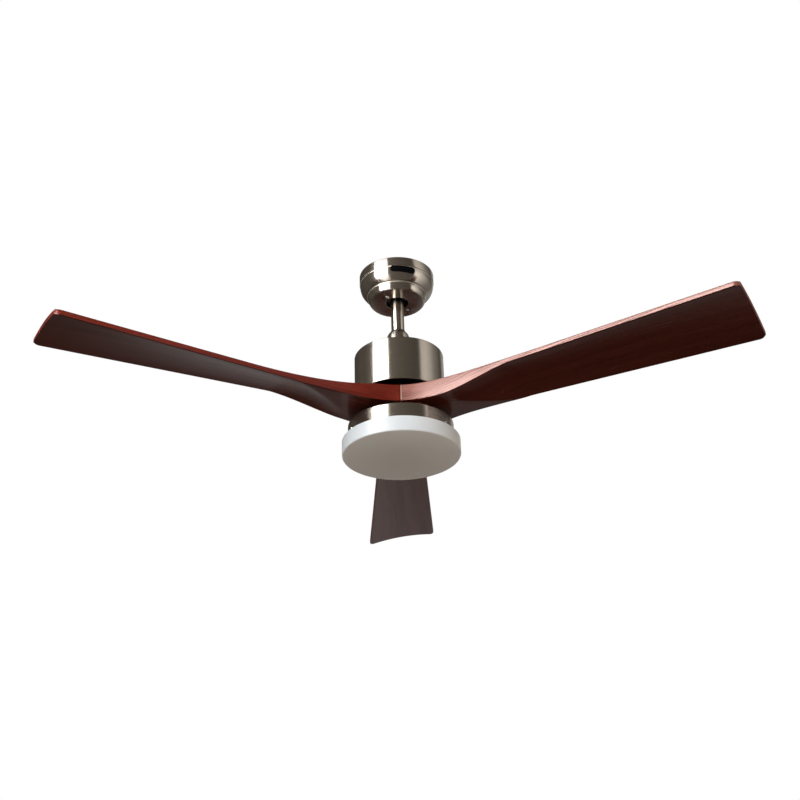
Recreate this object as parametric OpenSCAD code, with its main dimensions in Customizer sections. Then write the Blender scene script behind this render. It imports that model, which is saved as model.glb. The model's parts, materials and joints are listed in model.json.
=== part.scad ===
// Three-blade ceiling fan with a light: flush canopy, short downrod, drum motor housing,
// carved wooden blades that meet at the hub, and a round light kit with a twist-off diffuser.
// The origin is on the ceiling plane, on the axis of the fan. +Z is up, so the fan hangs below zero.

/* [Canopy] */
// Radius of the canopy at its rim
canopy_r = 73; // [69:1:90]
// Height of the canopy, rim to bottom face
canopy_h = 60; // [57:0.5:70]
// Sheet thickness of the canopy
canopy_wall = 1.2; // [0.8:0.1:2]
// Height of the straight band under the rim
canopy_band_h = 18.5; // [16:0.5:20]
// Radius of the ridge around the bottom
canopy_ridge_r = 57.5; // [55:0.5:62]
// Height of the ridge above the bottom face
canopy_ridge_h = 14; // [10:0.5:16]
// Radius of the flat bottom face
canopy_flat_r = 50; // [46:1:53]
// Radius of the hole that the downrod swings in
canopy_hole_r = 22; // [21:0.5:25]
// Gap between the canopy rim and the ceiling
ceiling_gap = 0.5; // [0.2:0.1:3]
// Length of the blank badge on the front of the canopy
badge_l = 49.5; // [20:0.5:54]
// Height of the blank badge
badge_h = 12.4; // [6:0.2:13]
// Angle of the badge, counter-clockwise from the front
badge_turn = 9.8; // [0:0.1:30]

/* [Hanger] */
// Length of the ceiling plate of the hanger bracket
bracket_l = 112; // [108:1:120]
// Width of the ceiling plate
bracket_w = 44; // [36:1:50]
// Thickness of the bracket steel
bracket_t = 2.2; // [1.6:0.1:3]
// Distance between the two ceiling slots
slot_spacing = 88; // [86:1:92]
// Length of a ceiling slot, end to end
slot_l = 19; // [10:0.5:20]
// Width of a ceiling slot
slot_w = 6.5; // [5:0.25:8]
// Radius of the supply cable hole in the ceiling plate
supply_hole_r = 7; // [4:0.5:8]
// Radius of the disc that carries the ball seat
seat_disc_r = 38; // [36:0.5:42]
// Radius of the hanger ball
ball_r = 25; // [24:0.5:26]
// Height of the ball centre above the seat disc
ball_lift = 24.6; // [22:0.2:25]
// Thickness of the plastic liner between ball and seat
liner_t = 2; // [1.5:0.1:3]
// Wall of the steel seat ring around the liner
seat_wall = 2; // [1.5:0.1:3]

/* [Downrod] */
// Distance from the ceiling to the top of the motor housing
drop = 185.3; // [175:0.1:420]
// Outer radius of the downrod
rod_r = 12.7; // [12:0.1:13.5]
// Wall of the downrod
rod_wall = 2; // [1.5:0.1:3]
// Height of the rod above the ball centre
rod_head = 20; // [16:0.5:22]
// Depth of the downrod socket in the yoke
socket_depth = 28; // [22:0.5:29]
// Wall of the yoke socket
yoke_wall = 3.2; // [2.5:0.1:3.6]
// Radius of the yoke flange
yoke_flange_r = 23; // [22.5:0.25:23.5]
// Thickness of the yoke flange
yoke_flange_t = 4; // [3:0.5:5]
// Height of the yoke neck that grips the motor shaft
yoke_neck_h = 11; // [8:0.5:14]
// Radius that the bell of the yoke cover widens to
cover_r = 25.5; // [25.5:0.5:34]
// Height of the yoke cover
cover_h = 57.5; // [56:0.5:66]
// Sheet thickness of the yoke cover
cover_wall = 1; // [0.6:0.1:1.2]

/* [Motor] */
// Outer radius of the motor housing
housing_r = 84.6; // [82:0.2:95]
// Height of the motor housing
housing_h = 88; // [86:0.5:100]
// Sheet thickness of the motor housing
housing_wall = 1.5; // [1:0.1:2]
// Radius of the rounded top edge of the motor housing
housing_edge_r = 2; // [1.8:0.1:6]
// Outer radius of the hollow motor shaft
shaft_r = 8.5; // [8:0.1:9]
// Bore radius of the motor shaft
shaft_bore_r = 5; // [4.5:0.1:5.5]
// Outer radius of the rotor shell
rotor_r = 74; // [72:0.5:78]
// Height of the rotor shell
rotor_h = 66; // [62:0.5:70]
// Wall of the rotor shell
rotor_wall = 4; // [3:0.5:5]
// Outer radius of the bearings
bearing_r = 20; // [18:0.5:22]
// Height of the bearings
bearing_h = 12; // [9:0.5:13]
// Height of the stator stack
stack_h = 26; // [20:1:28]
// Number of stator teeth and coils
teeth = 12; // [9:3:12]
// Number of rotor magnets
magnets = 14; // [8:2:16]
// Thickness of the magnets
magnet_t = 4; // [3:0.5:5]

/* [Blades] */
// Radius of the fan, axis to blade tip
fan_r = 660; // [500:5:760]
// Thickness of the plank that a blade is carved from
plank_t = 33; // [31:0.5:36]
// Radius at which the roots of two blades part
seam_r = 76.8; // [74:0.2:85]
// Half width of a blade at 300 mm from the axis, edge lines carried on
blade_half_w = 52.85; // [45:0.25:60]
// Widening of each edge for each millimetre of radius
blade_taper = 0.0646; // [0.02:0.0002:0.09]
// Rise of the high edge above the low edge
blade_rise = 23.5; // [15:0.5:24]
// Hollow of the underside, middle above the edges
blade_camber = 7; // [3:0.5:7.5]
// Thickness of the carved blade
blade_t = 10; // [8:0.5:10.5]
// Radius of the rounded tip corners
tip_corner_r = 12; // [6:0.5:20]
// Chamfer along the blade edges
edge_chamfer = 1.6; // [0.8:0.1:2.5]
// Gap between the root faces of two blades
seam_gap = 0.4; // [0.3:0.1:1]
// Radius of the hub hole through the blade roots
hub_hole_r = 24; // [22:0.5:26]
// Gap between the motor housing and the blades
blade_gap = 8.7; // [8:0.1:14]
// Radius of the blade carrier plate
carrier_r = 66; // [64:0.5:70]
// Thickness of the blade carrier plate
carrier_t = 4; // [4:0.5:5]
// Radius of the clamp plate under the blade roots
clamp_r = 60; // [60:0.5:66]
// Thickness of the clamp plate
clamp_t = 2.5; // [2:0.5:3.5]

/* [Light kit] */
// Gap between the blades and the light kit
kit_gap = 14; // [14:0.5:20]
// Outer radius of the light kit pan
pan_r = 97.8; // [94:0.2:104]
// Height of the light kit pan
pan_h = 31.8; // [30:0.2:40]
// Sheet thickness of the light kit pan
pan_wall = 1.2; // [0.8:0.1:1.6]
// Outer radius of the diffuser
diffuser_r = 109; // [106:0.5:118]
// Height of the diffuser drum below the pan
diffuser_h = 29.5; // [26:0.5:40]
// Wall of the diffuser
diffuser_wall = 2.2; // [1.6:0.1:3]
// Radius of the rounded bottom edge of the diffuser
diffuser_edge_r = 2.6; // [2.6:0.2:8]
// Height of the diffuser collar inside the pan
collar_h = 16; // [15:0.5:18]
// Angle that the diffuser turns through to unlock
twist_deg = 18; // [10:1:25]
// Radius of the adapter plate above the pan
adapter_r = 45; // [40:1:50]
// Gap between the heat sink disc and the bayonet studs
sink_gap = 6; // [4:0.5:12]
// Length of the light driver box
driver_l = 84; // [60:1:100]

/* [Fasteners] */
// Shank radius of the canopy screws
canopy_screw_r = 2; // [1.5:0.1:2.5]
// Radius of the canopy keyholes that pass over the screw heads
keyhole_r = 3.6; // [3.5:0.1:4]
// Distance of the canopy screws from the axis
canopy_screw_pos = 30.5; // [28:0.5:34]
// Shank radius of the blade screws
blade_screw_r = 3; // [2.5:0.1:3.5]
// Shank radius of the other machine screws
screw_r = 2; // [1.5:0.1:2.2]
// Radius of the cross pins in the ball and the yoke
pin_r = 3; // [2.5:0.1:3.5]
// Shank radius of the bayonet studs
stud_r = 2; // [1.5:0.1:2.5]
// Height of the bayonet studs above the rim of the pan
stud_rise = 11; // [6:0.5:12]

/* [Clearances] */
// Radial clearance of a running or sliding fit
fit = 0.05; // [0.02:0.01:0.1]
// Gap between curved faces that move past each other
clear = 0.3; // [0.2:0.05:0.5]

/* [Hidden] */
$fn = 96;

nickel = [0.55, 0.51, 0.46];
steel = [0.62, 0.63, 0.65];
zinc = [0.75, 0.75, 0.77];
wood_red = [0.36, 0.13, 0.08];
black = [0.06, 0.06, 0.07];
opal = [0.93, 0.94, 0.95];
copper = [0.72, 0.38, 0.18];
alloy = [0.66, 0.67, 0.69];
iron = [0.45, 0.46, 0.48];
ferrite = [0.3, 0.31, 0.33];
sleeve = [0.85, 0.85, 0.82];
phosphor = [0.95, 0.85, 0.4];

blade_count = 3;
front_angle = 270;
slice = 0.01;

// Heights of the canopy and the hanger
canopy_top = -ceiling_gap;
canopy_bottom = canopy_top - canopy_h;
disc_bottom = canopy_bottom + canopy_wall;
disc_top = disc_bottom + bracket_t;
ball_z = disc_top + ball_lift;
liner_in_r = ball_r + clear;
liner_out_r = liner_in_r + liner_t;
seat_in_r = liner_out_r + clear;
seat_out_r = seat_in_r + seat_wall;
seat_top = ball_z - 1;
seat_low = 15;
leg_x = seat_out_r;
leg_w = 26;
flange_drop = 14;
receiver_l = 60;
receiver_w = 24;
receiver_h = 14;
receiver_y = bracket_w / 2 + clear;
receiver_z = -bracket_t - 2 - receiver_h;
terminal_l = 32;
terminal_w = 14;
terminal_h = 12;
terminal_z = -bracket_t - 2 - terminal_h;
terminal_pitch = 10;
canopy_screw_angle = 51;
keyhole_turn = 12;

// Heights of the downrod and the yoke
housing_top = -drop;
neck_bottom = housing_top + yoke_flange_t;
web_bottom = neck_bottom + yoke_neck_h;
web_t = 3.5;
socket_bottom = web_bottom + web_t;
yoke_top = socket_bottom + socket_depth;
yoke_r = rod_r + fit + yoke_wall;
rod_top = ball_z + rod_head;
rod_bottom = socket_bottom + clear;
rod_bore_r = rod_r - rod_wall;
ball_pin_z = ball_z + 6;
yoke_pin_z = socket_bottom + socket_depth / 3;
set_screw_z = socket_bottom + socket_depth * 0.72;
harness_r = shaft_bore_r - 0.6;

// Heights of the motor
housing_bottom = housing_top - housing_h;
mount_t = 5;
mount_r = 34;
mount_bottom = housing_top - housing_wall - mount_t;
rotor_top = mount_bottom - 4;
rotor_bottom = rotor_top - rotor_h;
rotor_mid = (rotor_top + rotor_bottom) / 2;
rotor_bore_r = rotor_r - rotor_wall;
shell_floor = 3;
bearing_inset = 2;
upper_bearing_z = rotor_top - bearing_inset - bearing_h;
lower_bearing_z = rotor_bottom + bearing_inset;
seat_ring_r = bearing_r + 4;
shell_screws = 6;
lug_pos = rotor_r - rotor_wall / 2;
lug_angle = 30;
magnet_h = stack_h + 4;
air_gap = 0.7;
stator_r = rotor_bore_r - fit - magnet_t - air_gap;
tooth_w = 8;
shoe_t = 3;
core_ring_r = 38;
coil_in = core_ring_r + 2.5;
coil_out = stator_r - shoe_t - 1;
coil_t = 2.6;
circlip_h = 1.2;

// Heights of the blades
plank_top = housing_bottom - blade_gap;
plank_bottom = plank_top - plank_t;
carrier_top = plank_top + carrier_t;
boss_r = 9;
boss_pos = 34;
clamp_bottom = plank_bottom - clamp_t;
blade_angles = [for (i = [0 : blade_count - 1]) front_angle + 60 + i * 360 / blade_count];
blade_holes = [[38, 0], [54, -20], [54, 20]];

// Heights of the light kit
pan_top = plank_bottom - kit_gap;
pan_bottom = pan_top - pan_h;
adapter_t = 4;
adapter_top = pan_top + adapter_t;
nut_h = 5.5;
nut_r = 13;
shaft_bottom = pan_top - pan_wall - 4;
pan_hole_r = shaft_r + 2;
shoulder_z = pan_bottom - clear;
diffuser_bottom = shoulder_z - diffuser_h;
collar_r = pan_r - pan_wall - clear;
collar_top = shoulder_z + collar_h;
stud_z = pan_bottom + stud_rise;
stud_reach = diffuser_wall + clear + 2;
stud_angle = front_angle + 54.5;
stud_dome = 60;
sink_t = 2;
board_t = 1.6;
sink_r = pan_r - pan_wall - stud_reach - sink_gap;
sink_top = pan_bottom + 12;
sink_bottom = sink_top - sink_t;
board_bottom = sink_bottom - board_t;
post_pos = sink_r - 14;
kit_screw_pos = adapter_r - 9;
kit_screw_angle = 30;
post_r = 4;
driver_gap = 5;
driver_y = kit_screw_pos / 2 + screw_r * 1.8 + 2;
driver_w = post_pos * sin(120) - post_r - driver_gap - driver_y;

// Points of an arc, counted from angle a0 to a1
function arc(cx, cy, r, a0, a1, n = 12) =
  [for (i = [0 : n]) let (a = a0 + (a1 - a0) * i / n) [cx + r * cos(a), cy + r * sin(a)]];

// The larger and the smaller of two heights, with a soft change of width k
function soft_max(a, b, k) = (a + b + sqrt((a - b) * (a - b) + k * k)) / 2;
function soft_min(a, b, k) = (a + b - sqrt((a - b) * (a - b) + k * k)) / 2;

module ring(r_out, r_in, h) {
  difference() {
    cylinder(r = r_out, h = h);
    translate([0, 0, -1]) cylinder(r = r_in, h = h + 2);
  }
}

module around(count, radius, start = 0) {
  for (i = [0 : count - 1]) rotate(start + i * 360 / count) translate([radius, 0, 0]) children();
}

// A screw that points up, its head under the seat at zero
module screw_up(r, l, head_r, head_h) {
  cylinder(r = r, h = l);
  translate([0, 0, -head_h]) difference() {
    cylinder(r = head_r, h = head_h);
    translate([-head_r * 0.6, -0.4, -1]) cube([head_r * 1.2, 0.8, 1 + head_h * 0.45]);
    translate([-0.4, -head_r * 0.6, -1]) cube([0.8, head_r * 1.2, 1 + head_h * 0.45]);
  }
}

// A flat-headed screw that points up, its head flush with the seat at zero
module countersunk_up(r, l, head_r, head_h) {
  cylinder(r = r, h = l);
  cylinder(r1 = head_r, r2 = r, h = head_h);
}

// ---- Ceiling mount ----

module slot_cut(x) {
  straight = slot_l - slot_w;
  translate([x, 0, -bracket_t - 1]) linear_extrude(bracket_t + 2) {
    square([straight, slot_w], center = true);
    for (s = [-1, 1]) translate([s * straight / 2, 0]) circle(d = slot_w);
  }
}

module ball_seat() {
  difference() {
    translate([0, 0, disc_bottom]) cylinder(r = seat_out_r, h = seat_top - disc_bottom);
    translate([0, 0, ball_z]) sphere(r = seat_in_r);
    translate([0, 0, disc_bottom - 1]) cylinder(r = canopy_hole_r, h = seat_top - disc_bottom);
  }
}

module hanger_bracket() {
  color(zinc) difference() {
    union() {
      translate([-bracket_l / 2, -bracket_w / 2, -bracket_t]) cube([bracket_l, bracket_w, bracket_t]);
      for (s = [-1, 1]) {
        x = s > 0 ? leg_x : -leg_x - bracket_t;
        translate([x, -leg_w / 2, disc_bottom]) cube([bracket_t, leg_w, -disc_bottom]);
        y = s > 0 ? bracket_w / 2 - bracket_t : -bracket_w / 2;
        translate([-leg_w / 2, y, -flange_drop]) cube([leg_w, bracket_t, flange_drop]);
      }
      translate([0, 0, disc_bottom]) ring(seat_disc_r, canopy_hole_r, bracket_t);
      ball_seat();
    }
    for (s = [-1, 1]) slot_cut(s * slot_spacing / 2);
    translate([-supply_hole_r * 2, 0, -bracket_t - 1]) cylinder(r = supply_hole_r, h = bracket_t + 2);
    around(2, canopy_screw_pos, canopy_screw_angle) translate([0, 0, disc_bottom - 1])
      cylinder(r = canopy_screw_r + fit, h = bracket_t + 12);
    translate([bracket_l / 2 - 5, bracket_w / 4, -bracket_t - 1])
      cylinder(r = screw_r + fit, h = bracket_t + 2);
  }
}

// Remote receiver, stuck to one side flange of the bracket
module receiver() {
  color(black) difference() {
    translate([-receiver_l / 2, receiver_y, receiver_z]) cube([receiver_l, receiver_w, receiver_h]);
    translate([receiver_l / 2 + 1, receiver_y + receiver_w / 2, receiver_z + receiver_h / 2])
      rotate([0, -90, 0]) cylinder(r = receiver_h / 4, h = receiver_w / 4);
  }
}

// Supply terminal block on the other side flange, with three screw wells
module terminal_block() {
  color(opal) difference() {
    translate([-terminal_l / 2, -bracket_w / 2 - clear - terminal_w, terminal_z])
      cube([terminal_l, terminal_w, terminal_h]);
    y = -bracket_w / 2 - clear - terminal_w / 2;
    for (i = [-1 : 1]) translate([i * terminal_pitch, y, terminal_z - 1])
      cylinder(r = terminal_pitch / 4, h = terminal_h * 0.75);
  }
}

module earth_screw() {
  color("green") translate([bracket_l / 2 - 5, bracket_w / 4, -bracket_t])
    screw_up(screw_r, bracket_t - 0.4, screw_r * 1.9, 1.6);
}

// Radius of the canopy's bowl at depth d under its band. Small steps part the band, the bowl and the foot.
bowl_h = canopy_h - canopy_band_h - canopy_ridge_h;
bowl_r = canopy_r - 1;
foot_r = canopy_ridge_r - 1;
band_bottom = canopy_top - canopy_band_h;
function bowl(d) = bowl_r - (bowl_r - canopy_ridge_r) * pow(d / bowl_h, 2.6);

// Outer profile of the canopy, drawn in by w for the inside face
function canopy_profile(w) = concat(
  [[canopy_r - w, canopy_top], [canopy_r - w, band_bottom + 0.8]],
  [for (i = [0 : 14]) [bowl(i * bowl_h / 14) - w, band_bottom - i * bowl_h / 14]],
  [for (i = [0 : 10]) let (a = i * 9)
    [canopy_flat_r + (foot_r - canopy_flat_r) * cos(a) - w * cos(a),
     canopy_bottom + (canopy_ridge_h - 1) * (1 - sin(a)) + w * sin(a)]]);

module canopy() {
  outer = canopy_profile(0);
  inner = canopy_profile(canopy_wall);
  n = len(inner) - 1;
  floor_in = [[0, canopy_bottom + canopy_wall]];
  floor_out = [[0, canopy_bottom]];
  color(nickel) difference() {
    rotate_extrude() polygon(concat(outer, floor_out, floor_in, [for (i = [0 : n]) inner[n - i]]));
    translate([0, 0, canopy_bottom - 1]) cylinder(r = canopy_hole_r, h = canopy_wall + 2);
    translate([0, 0, canopy_bottom - 1]) around(2, 0, canopy_screw_angle) keyhole(canopy_wall + 2);
  }
}

// A round hole for the screw, and a slot from it to the larger hole that passes the head
module keyhole(h) {
  r = canopy_screw_r + fit;
  translate([canopy_screw_pos, 0]) cylinder(r = r + clear, h = h);
  rotate(-keyhole_turn) translate([canopy_screw_pos, 0]) cylinder(r = keyhole_r, h = h);
  rotate(-keyhole_turn) rotate_extrude(angle = keyhole_turn)
    translate([canopy_screw_pos - r, 0]) square([r * 2, h]);
}

module canopy_screws() {
  color(zinc) around(2, canopy_screw_pos, canopy_screw_angle) translate([0, 0, canopy_bottom])
    screw_up(canopy_screw_r, canopy_wall + bracket_t + 3, canopy_screw_r * 1.7, 1.8);
}

// Blank oval badge under the band, curved to the canopy's bowl
module canopy_badge() {
  badge_t = 0.9;
  badge_mid = badge_h / 2 + 0.4;
  steps = 6;
  depths = [for (i = [0 : steps]) badge_mid + (i / steps - 0.5) * (badge_h + 0.4)];
  color(black) intersection() {
    rotate_extrude() polygon(concat(
      [for (d = depths) [bowl(d) + clear + badge_t, band_bottom - d]],
      [for (i = [0 : steps]) [bowl(depths[steps - i]) + clear, band_bottom - depths[steps - i]]]));
    rotate(front_angle + badge_turn) translate([canopy_r - 20, 0, band_bottom - badge_mid])
      rotate([90, 0, 90]) linear_extrude(canopy_r) {
        square([badge_l - badge_h, badge_h], center = true);
        for (s = [-1, 1]) translate([s * (badge_l - badge_h) / 2, 0]) circle(d = badge_h);
      }
  }
}

// ---- Hanger ball and downrod ----

// Plastic ring between the steel seat and the ball, spherical inside and out
module ball_liner() {
  color(black) difference() {
    intersection() {
      translate([0, 0, ball_z]) sphere(r = liner_out_r);
      translate([0, 0, ball_z - seat_low]) cylinder(r = seat_out_r, h = seat_low - 3);
    }
    translate([0, 0, ball_z]) sphere(r = liner_in_r);
  }
}

module hanger_ball() {
  color(black) difference() {
    intersection() {
      translate([0, 0, ball_z]) sphere(r = ball_r);
      translate([0, 0, ball_z - ball_r * 0.84]) cylinder(r = ball_r + 1, h = ball_r * 1.6);
    }
    translate([0, 0, ball_z - ball_r - 1]) cylinder(r = rod_r + fit, h = ball_r * 2 + 2);
    translate([-ball_r - 1, 0, ball_pin_z]) rotate([0, 90, 0])
      cylinder(r = pin_r + fit, h = ball_r * 2 + 2);
  }
}

module ball_pin() {
  color(steel) translate([-rod_r - 6, 0, ball_pin_z]) rotate([0, 90, 0])
    cylinder(r = pin_r, h = rod_r * 2 + 12);
}

module downrod() {
  color(nickel) difference() {
    translate([0, 0, rod_bottom]) cylinder(r = rod_r, h = rod_top - rod_bottom);
    translate([0, 0, rod_bottom - 1]) cylinder(r = rod_bore_r, h = rod_top - rod_bottom + 2);
    for (z = [ball_pin_z, yoke_pin_z]) translate([-rod_r - 1, 0, z]) rotate([0, 90, 0])
      cylinder(r = pin_r + fit, h = rod_r * 2 + 2);
  }
}

module rod_grommet() {
  color(black) translate([0, 0, rod_top]) {
    ring(rod_r - 0.5, harness_r + fit, 2);
    translate([0, 0, -3]) ring(rod_bore_r - fit, harness_r + fit, 3);
  }
}

// Leads of motor and light in one sleeve, down through the rod and the shaft, parted around the cross pins
module wiring_harness() {
  color(sleeve) difference() {
    translate([0, 0, shaft_bottom]) cylinder(r = harness_r, h = rod_top + 3 - shaft_bottom);
    for (z = [ball_pin_z, yoke_pin_z]) translate([-harness_r - 1, 0, z]) rotate([0, 90, 0])
      cylinder(r = pin_r + clear, h = harness_r * 2 + 2);
  }
}

module harness_plug() {
  color(opal) translate([-7, -5, rod_top + 3]) cube([14, 10, 4]);
}

module yoke() {
  color(alloy) difference() {
    union() {
      translate([0, 0, housing_top]) cylinder(r = yoke_flange_r, h = yoke_flange_t);
      translate([0, 0, housing_top]) cylinder(r = yoke_r - 3, h = yoke_top - housing_top);
      translate([0, 0, web_bottom]) cylinder(r = yoke_r, h = yoke_top - web_bottom);
    }
    translate([0, 0, housing_top - 1]) cylinder(r = shaft_r + fit, h = web_bottom - housing_top + 1);
    translate([0, 0, housing_top]) cylinder(r = harness_r + clear, h = yoke_top - housing_top);
    translate([0, 0, socket_bottom]) cylinder(r = rod_r + fit, h = socket_depth + 1);
    translate([-yoke_r - 1, 0, yoke_pin_z]) rotate([0, 90, 0])
      cylinder(r = pin_r + fit, h = yoke_r * 2 + 2);
    translate([0, yoke_r + 1, set_screw_z]) rotate([90, 0, 0])
      cylinder(r = screw_r + fit, h = yoke_r * 2 + 2);
    around(4, yoke_flange_r - 4, 45) translate([0, 0, housing_top - 1])
      cylinder(r = screw_r + fit, h = yoke_flange_t + 2);
  }
}

module yoke_pin() {
  color(steel) translate([-yoke_r - 3, 0, yoke_pin_z]) rotate([0, 90, 0])
    cylinder(r = pin_r, h = yoke_r * 2 + 6);
}

// Spring ring on the free end of the yoke pin
module yoke_clip() {
  color(steel) translate([yoke_r + clear, 0, yoke_pin_z]) rotate([0, 90, 0])
    ring(pin_r + 1.6, pin_r + fit, 1.2);
}

module yoke_set_screws() {
  color(steel) for (s = [0, 180]) rotate(s) translate([0, yoke_r + 1.5, set_screw_z]) rotate([90, 0, 0])
    cylinder(r = screw_r, h = yoke_r + 1.5 - rod_r - fit);
}

// Bell over the yoke: it opens from the rod in a dome that steepens towards the foot.
// The inside face is drawn in by w, square to the dome's mouth.
bell_steps = 16;
mouth_r = rod_r + clear;
shoulder = (cover_r - mouth_r) * 0.68;
function bell_r(d) =
  mouth_r + shoulder * (1 - exp(-d / 5)) + (cover_r - mouth_r - shoulder) * d / cover_h;
function bell(w) = [for (i = [0 : bell_steps]) let (d = (cover_h - w) * pow(i / bell_steps, 1.6))
  [max(mouth_r, bell_r(d) - w), housing_top + (cover_h - w) - d]];

module yoke_cover() {
  inner = bell(cover_wall);
  color(nickel) rotate_extrude() polygon(concat(
    bell(0), [for (i = [0 : bell_steps]) inner[bell_steps - i]]));
}

// ---- Motor ----

module housing_screws() {
  color(steel) around(4, yoke_flange_r - 4, 45) translate([0, 0, housing_top + yoke_flange_t])
    mirror([0, 0, 1]) screw_up(screw_r, yoke_flange_t + housing_wall + mount_t - 0.5, screw_r * 1.7, 1.6);
}

module motor_housing() {
  e = housing_edge_r;
  w = housing_wall;
  color(nickel) difference() {
    rotate_extrude() polygon(concat(
      [[0, housing_top]],
      arc(housing_r - e, housing_top - e, e, 90, 0, 8),
      [[housing_r, housing_bottom + 1.2], [housing_r + 0.6, housing_bottom + 0.8]],
      [[housing_r + 0.6, housing_bottom], [housing_r - w, housing_bottom]],
      arc(housing_r - e, housing_top - e, e - w + 0.1, 0, 90, 8),
      [[0, housing_top - w]]));
    translate([0, 0, housing_top - w - 1]) cylinder(r = shaft_r + clear, h = w + 2);
    around(4, yoke_flange_r - 4, 45) translate([0, 0, housing_top - w - 1])
      cylinder(r = screw_r + fit, h = w + 2);
  }
}

// Steel disc on the shaft that carries the housing
module motor_bracket() {
  color(steel) difference() {
    translate([0, 0, mount_bottom]) cylinder(r = mount_r, h = mount_t);
    translate([0, 0, mount_bottom - 1]) cylinder(r = shaft_r + fit, h = mount_t + 2);
    around(4, yoke_flange_r - 4, 45) translate([0, 0, mount_bottom - 1])
      cylinder(r = screw_r + fit, h = mount_t + 2);
  }
}

module motor_shaft() {
  top = web_bottom - clear;
  color(steel) translate([0, 0, shaft_bottom]) ring(shaft_r, shaft_bore_r, top - shaft_bottom);
}

module shaft_circlips() {
  low = rotor_bottom + bearing_inset - clear - circlip_h;
  color(steel) for (z = [rotor_top - bearing_inset + clear, low])
    translate([0, 0, z]) ring(shaft_r + 2.5, shaft_r + fit, circlip_h);
}

// Laminated stack: hub, ring, teeth and pole shoes
module stator_core() {
  gap = 3;
  color(iron) translate([0, 0, rotor_mid - stack_h / 2]) linear_extrude(stack_h) difference() {
    union() {
      circle(r = core_ring_r);
      for (i = [0 : teeth - 1]) rotate(i * 360 / teeth) translate([core_ring_r - 1, -tooth_w / 2])
        square([stator_r - core_ring_r - 1, tooth_w]);
      difference() {
        circle(r = stator_r);
        circle(r = stator_r - shoe_t);
        for (i = [0 : teeth - 1]) rotate((i + 0.5) * 360 / teeth) translate([core_ring_r, -gap / 2])
          square([stator_r, gap]);
      }
    }
    circle(r = shaft_r + fit);
    for (i = [0 : 5]) rotate(i * 60) translate([(core_ring_r + shaft_r) / 2, 0]) circle(r = 6);
  }
}

module coil() {
  w = tooth_w + 2 * clear;
  h = stack_h + 2 * clear;
  l = coil_out - coil_in;
  difference() {
    translate([coil_in, -w / 2 - coil_t, -h / 2 - coil_t]) cube([l, w + 2 * coil_t, h + 2 * coil_t]);
    translate([coil_in - 1, -w / 2, -h / 2]) cube([l + 2, w, h]);
  }
}

module stator_coils() {
  color(copper) translate([0, 0, rotor_mid]) for (i = [0 : teeth - 1]) rotate(i * 360 / teeth) coil();
}

// Half of the rotor shell: a floor with a bearing seat, and a wall up to the joint of the two halves
module shell_half(h) {
  difference() {
    cylinder(r = rotor_r, h = h);
    translate([0, 0, shell_floor]) cylinder(r = rotor_bore_r, h = h);
    translate([0, 0, -1]) cylinder(r = shaft_r + 3.5, h = shell_floor + 2);
    translate([0, 0, bearing_inset]) cylinder(r = bearing_r + fit, h = h);
  }
  difference() {
    cylinder(r = seat_ring_r, h = bearing_inset + bearing_h);
    translate([0, 0, bearing_inset]) cylinder(r = bearing_r + fit, h = bearing_h + 1);
    translate([0, 0, -1]) cylinder(r = shaft_r + 3.5, h = bearing_inset + bearing_h);
  }
}

module rotor_upper_shell() {
  color(alloy) difference() {
    translate([0, 0, rotor_top]) mirror([0, 0, 1]) shell_half(rotor_top - rotor_mid);
    around(shell_screws, lug_pos, lug_angle) translate([0, 0, rotor_mid - 1])
      cylinder(r = 1 + fit, h = rotor_top - rotor_mid + 2);
  }
}

module rotor_lower_shell() {
  color(alloy) difference() {
    union() {
      translate([0, 0, rotor_bottom]) shell_half(rotor_mid - rotor_bottom);
      around(blade_count, boss_pos, front_angle) translate([0, 0, carrier_top])
        cylinder(r = boss_r, h = rotor_bottom - carrier_top + 1);
    }
    around(blade_count, boss_pos, front_angle) translate([0, 0, carrier_top - 1])
      cylinder(r = screw_r + fit, h = 12);
    around(shell_screws, lug_pos, lug_angle) translate([0, 0, rotor_mid - 8]) cylinder(r = 1 + fit, h = 9);
  }
}

module rotor_screws() {
  color(steel) around(shell_screws, lug_pos, lug_angle) translate([0, 0, rotor_top]) mirror([0, 0, 1])
    screw_up(1, rotor_top - rotor_mid + 6, 1.8, 1.2);
}

module rotor_magnets() {
  r_out = rotor_bore_r - fit;
  share = 0.86;
  wedge = rotor_r * 2;
  half = 180 / magnets * share;
  color(ferrite) for (i = [0 : magnets - 1]) rotate(i * 360 / magnets) intersection() {
    translate([0, 0, rotor_mid - magnet_h / 2]) ring(r_out, r_out - magnet_t, magnet_h);
    translate([0, 0, rotor_mid - magnet_h / 2 - 1]) linear_extrude(magnet_h + 2)
      polygon([[0, 0], [wedge, -wedge * tan(half)], [wedge, wedge * tan(half)]]);
  }
}

module bearing() {
  groove = 0.8;
  mid_r = (bearing_r + shaft_r) / 2;
  difference() {
    ring(bearing_r, shaft_r + fit, bearing_h);
    for (z = [-1, bearing_h - groove]) translate([0, 0, z]) ring(mid_r + 2.5, mid_r - 2.5, 1 + groove);
  }
}

module upper_bearing() {
  color(steel) translate([0, 0, upper_bearing_z]) bearing();
}

module lower_bearing() {
  color(steel) translate([0, 0, lower_bearing_z]) bearing();
}

// ---- Blades ----

module blade_hole_places() {
  for (a = blade_angles) rotate(a) for (p = blade_holes) translate([p[0], p[1], 0]) children();
}

module blade_carrier() {
  color(black) difference() {
    translate([0, 0, plank_top]) ring(carrier_r, hub_hole_r - 2, carrier_t);
    translate([0, 0, plank_top - 1]) blade_hole_places()
      cylinder(r = blade_screw_r + fit, h = carrier_t + 2);
    around(blade_count, boss_pos, front_angle) translate([0, 0, plank_top - slice])
      countersunk_up(screw_r + fit, carrier_t + 1, screw_r * 2 + clear, screw_r);
  }
}

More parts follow.
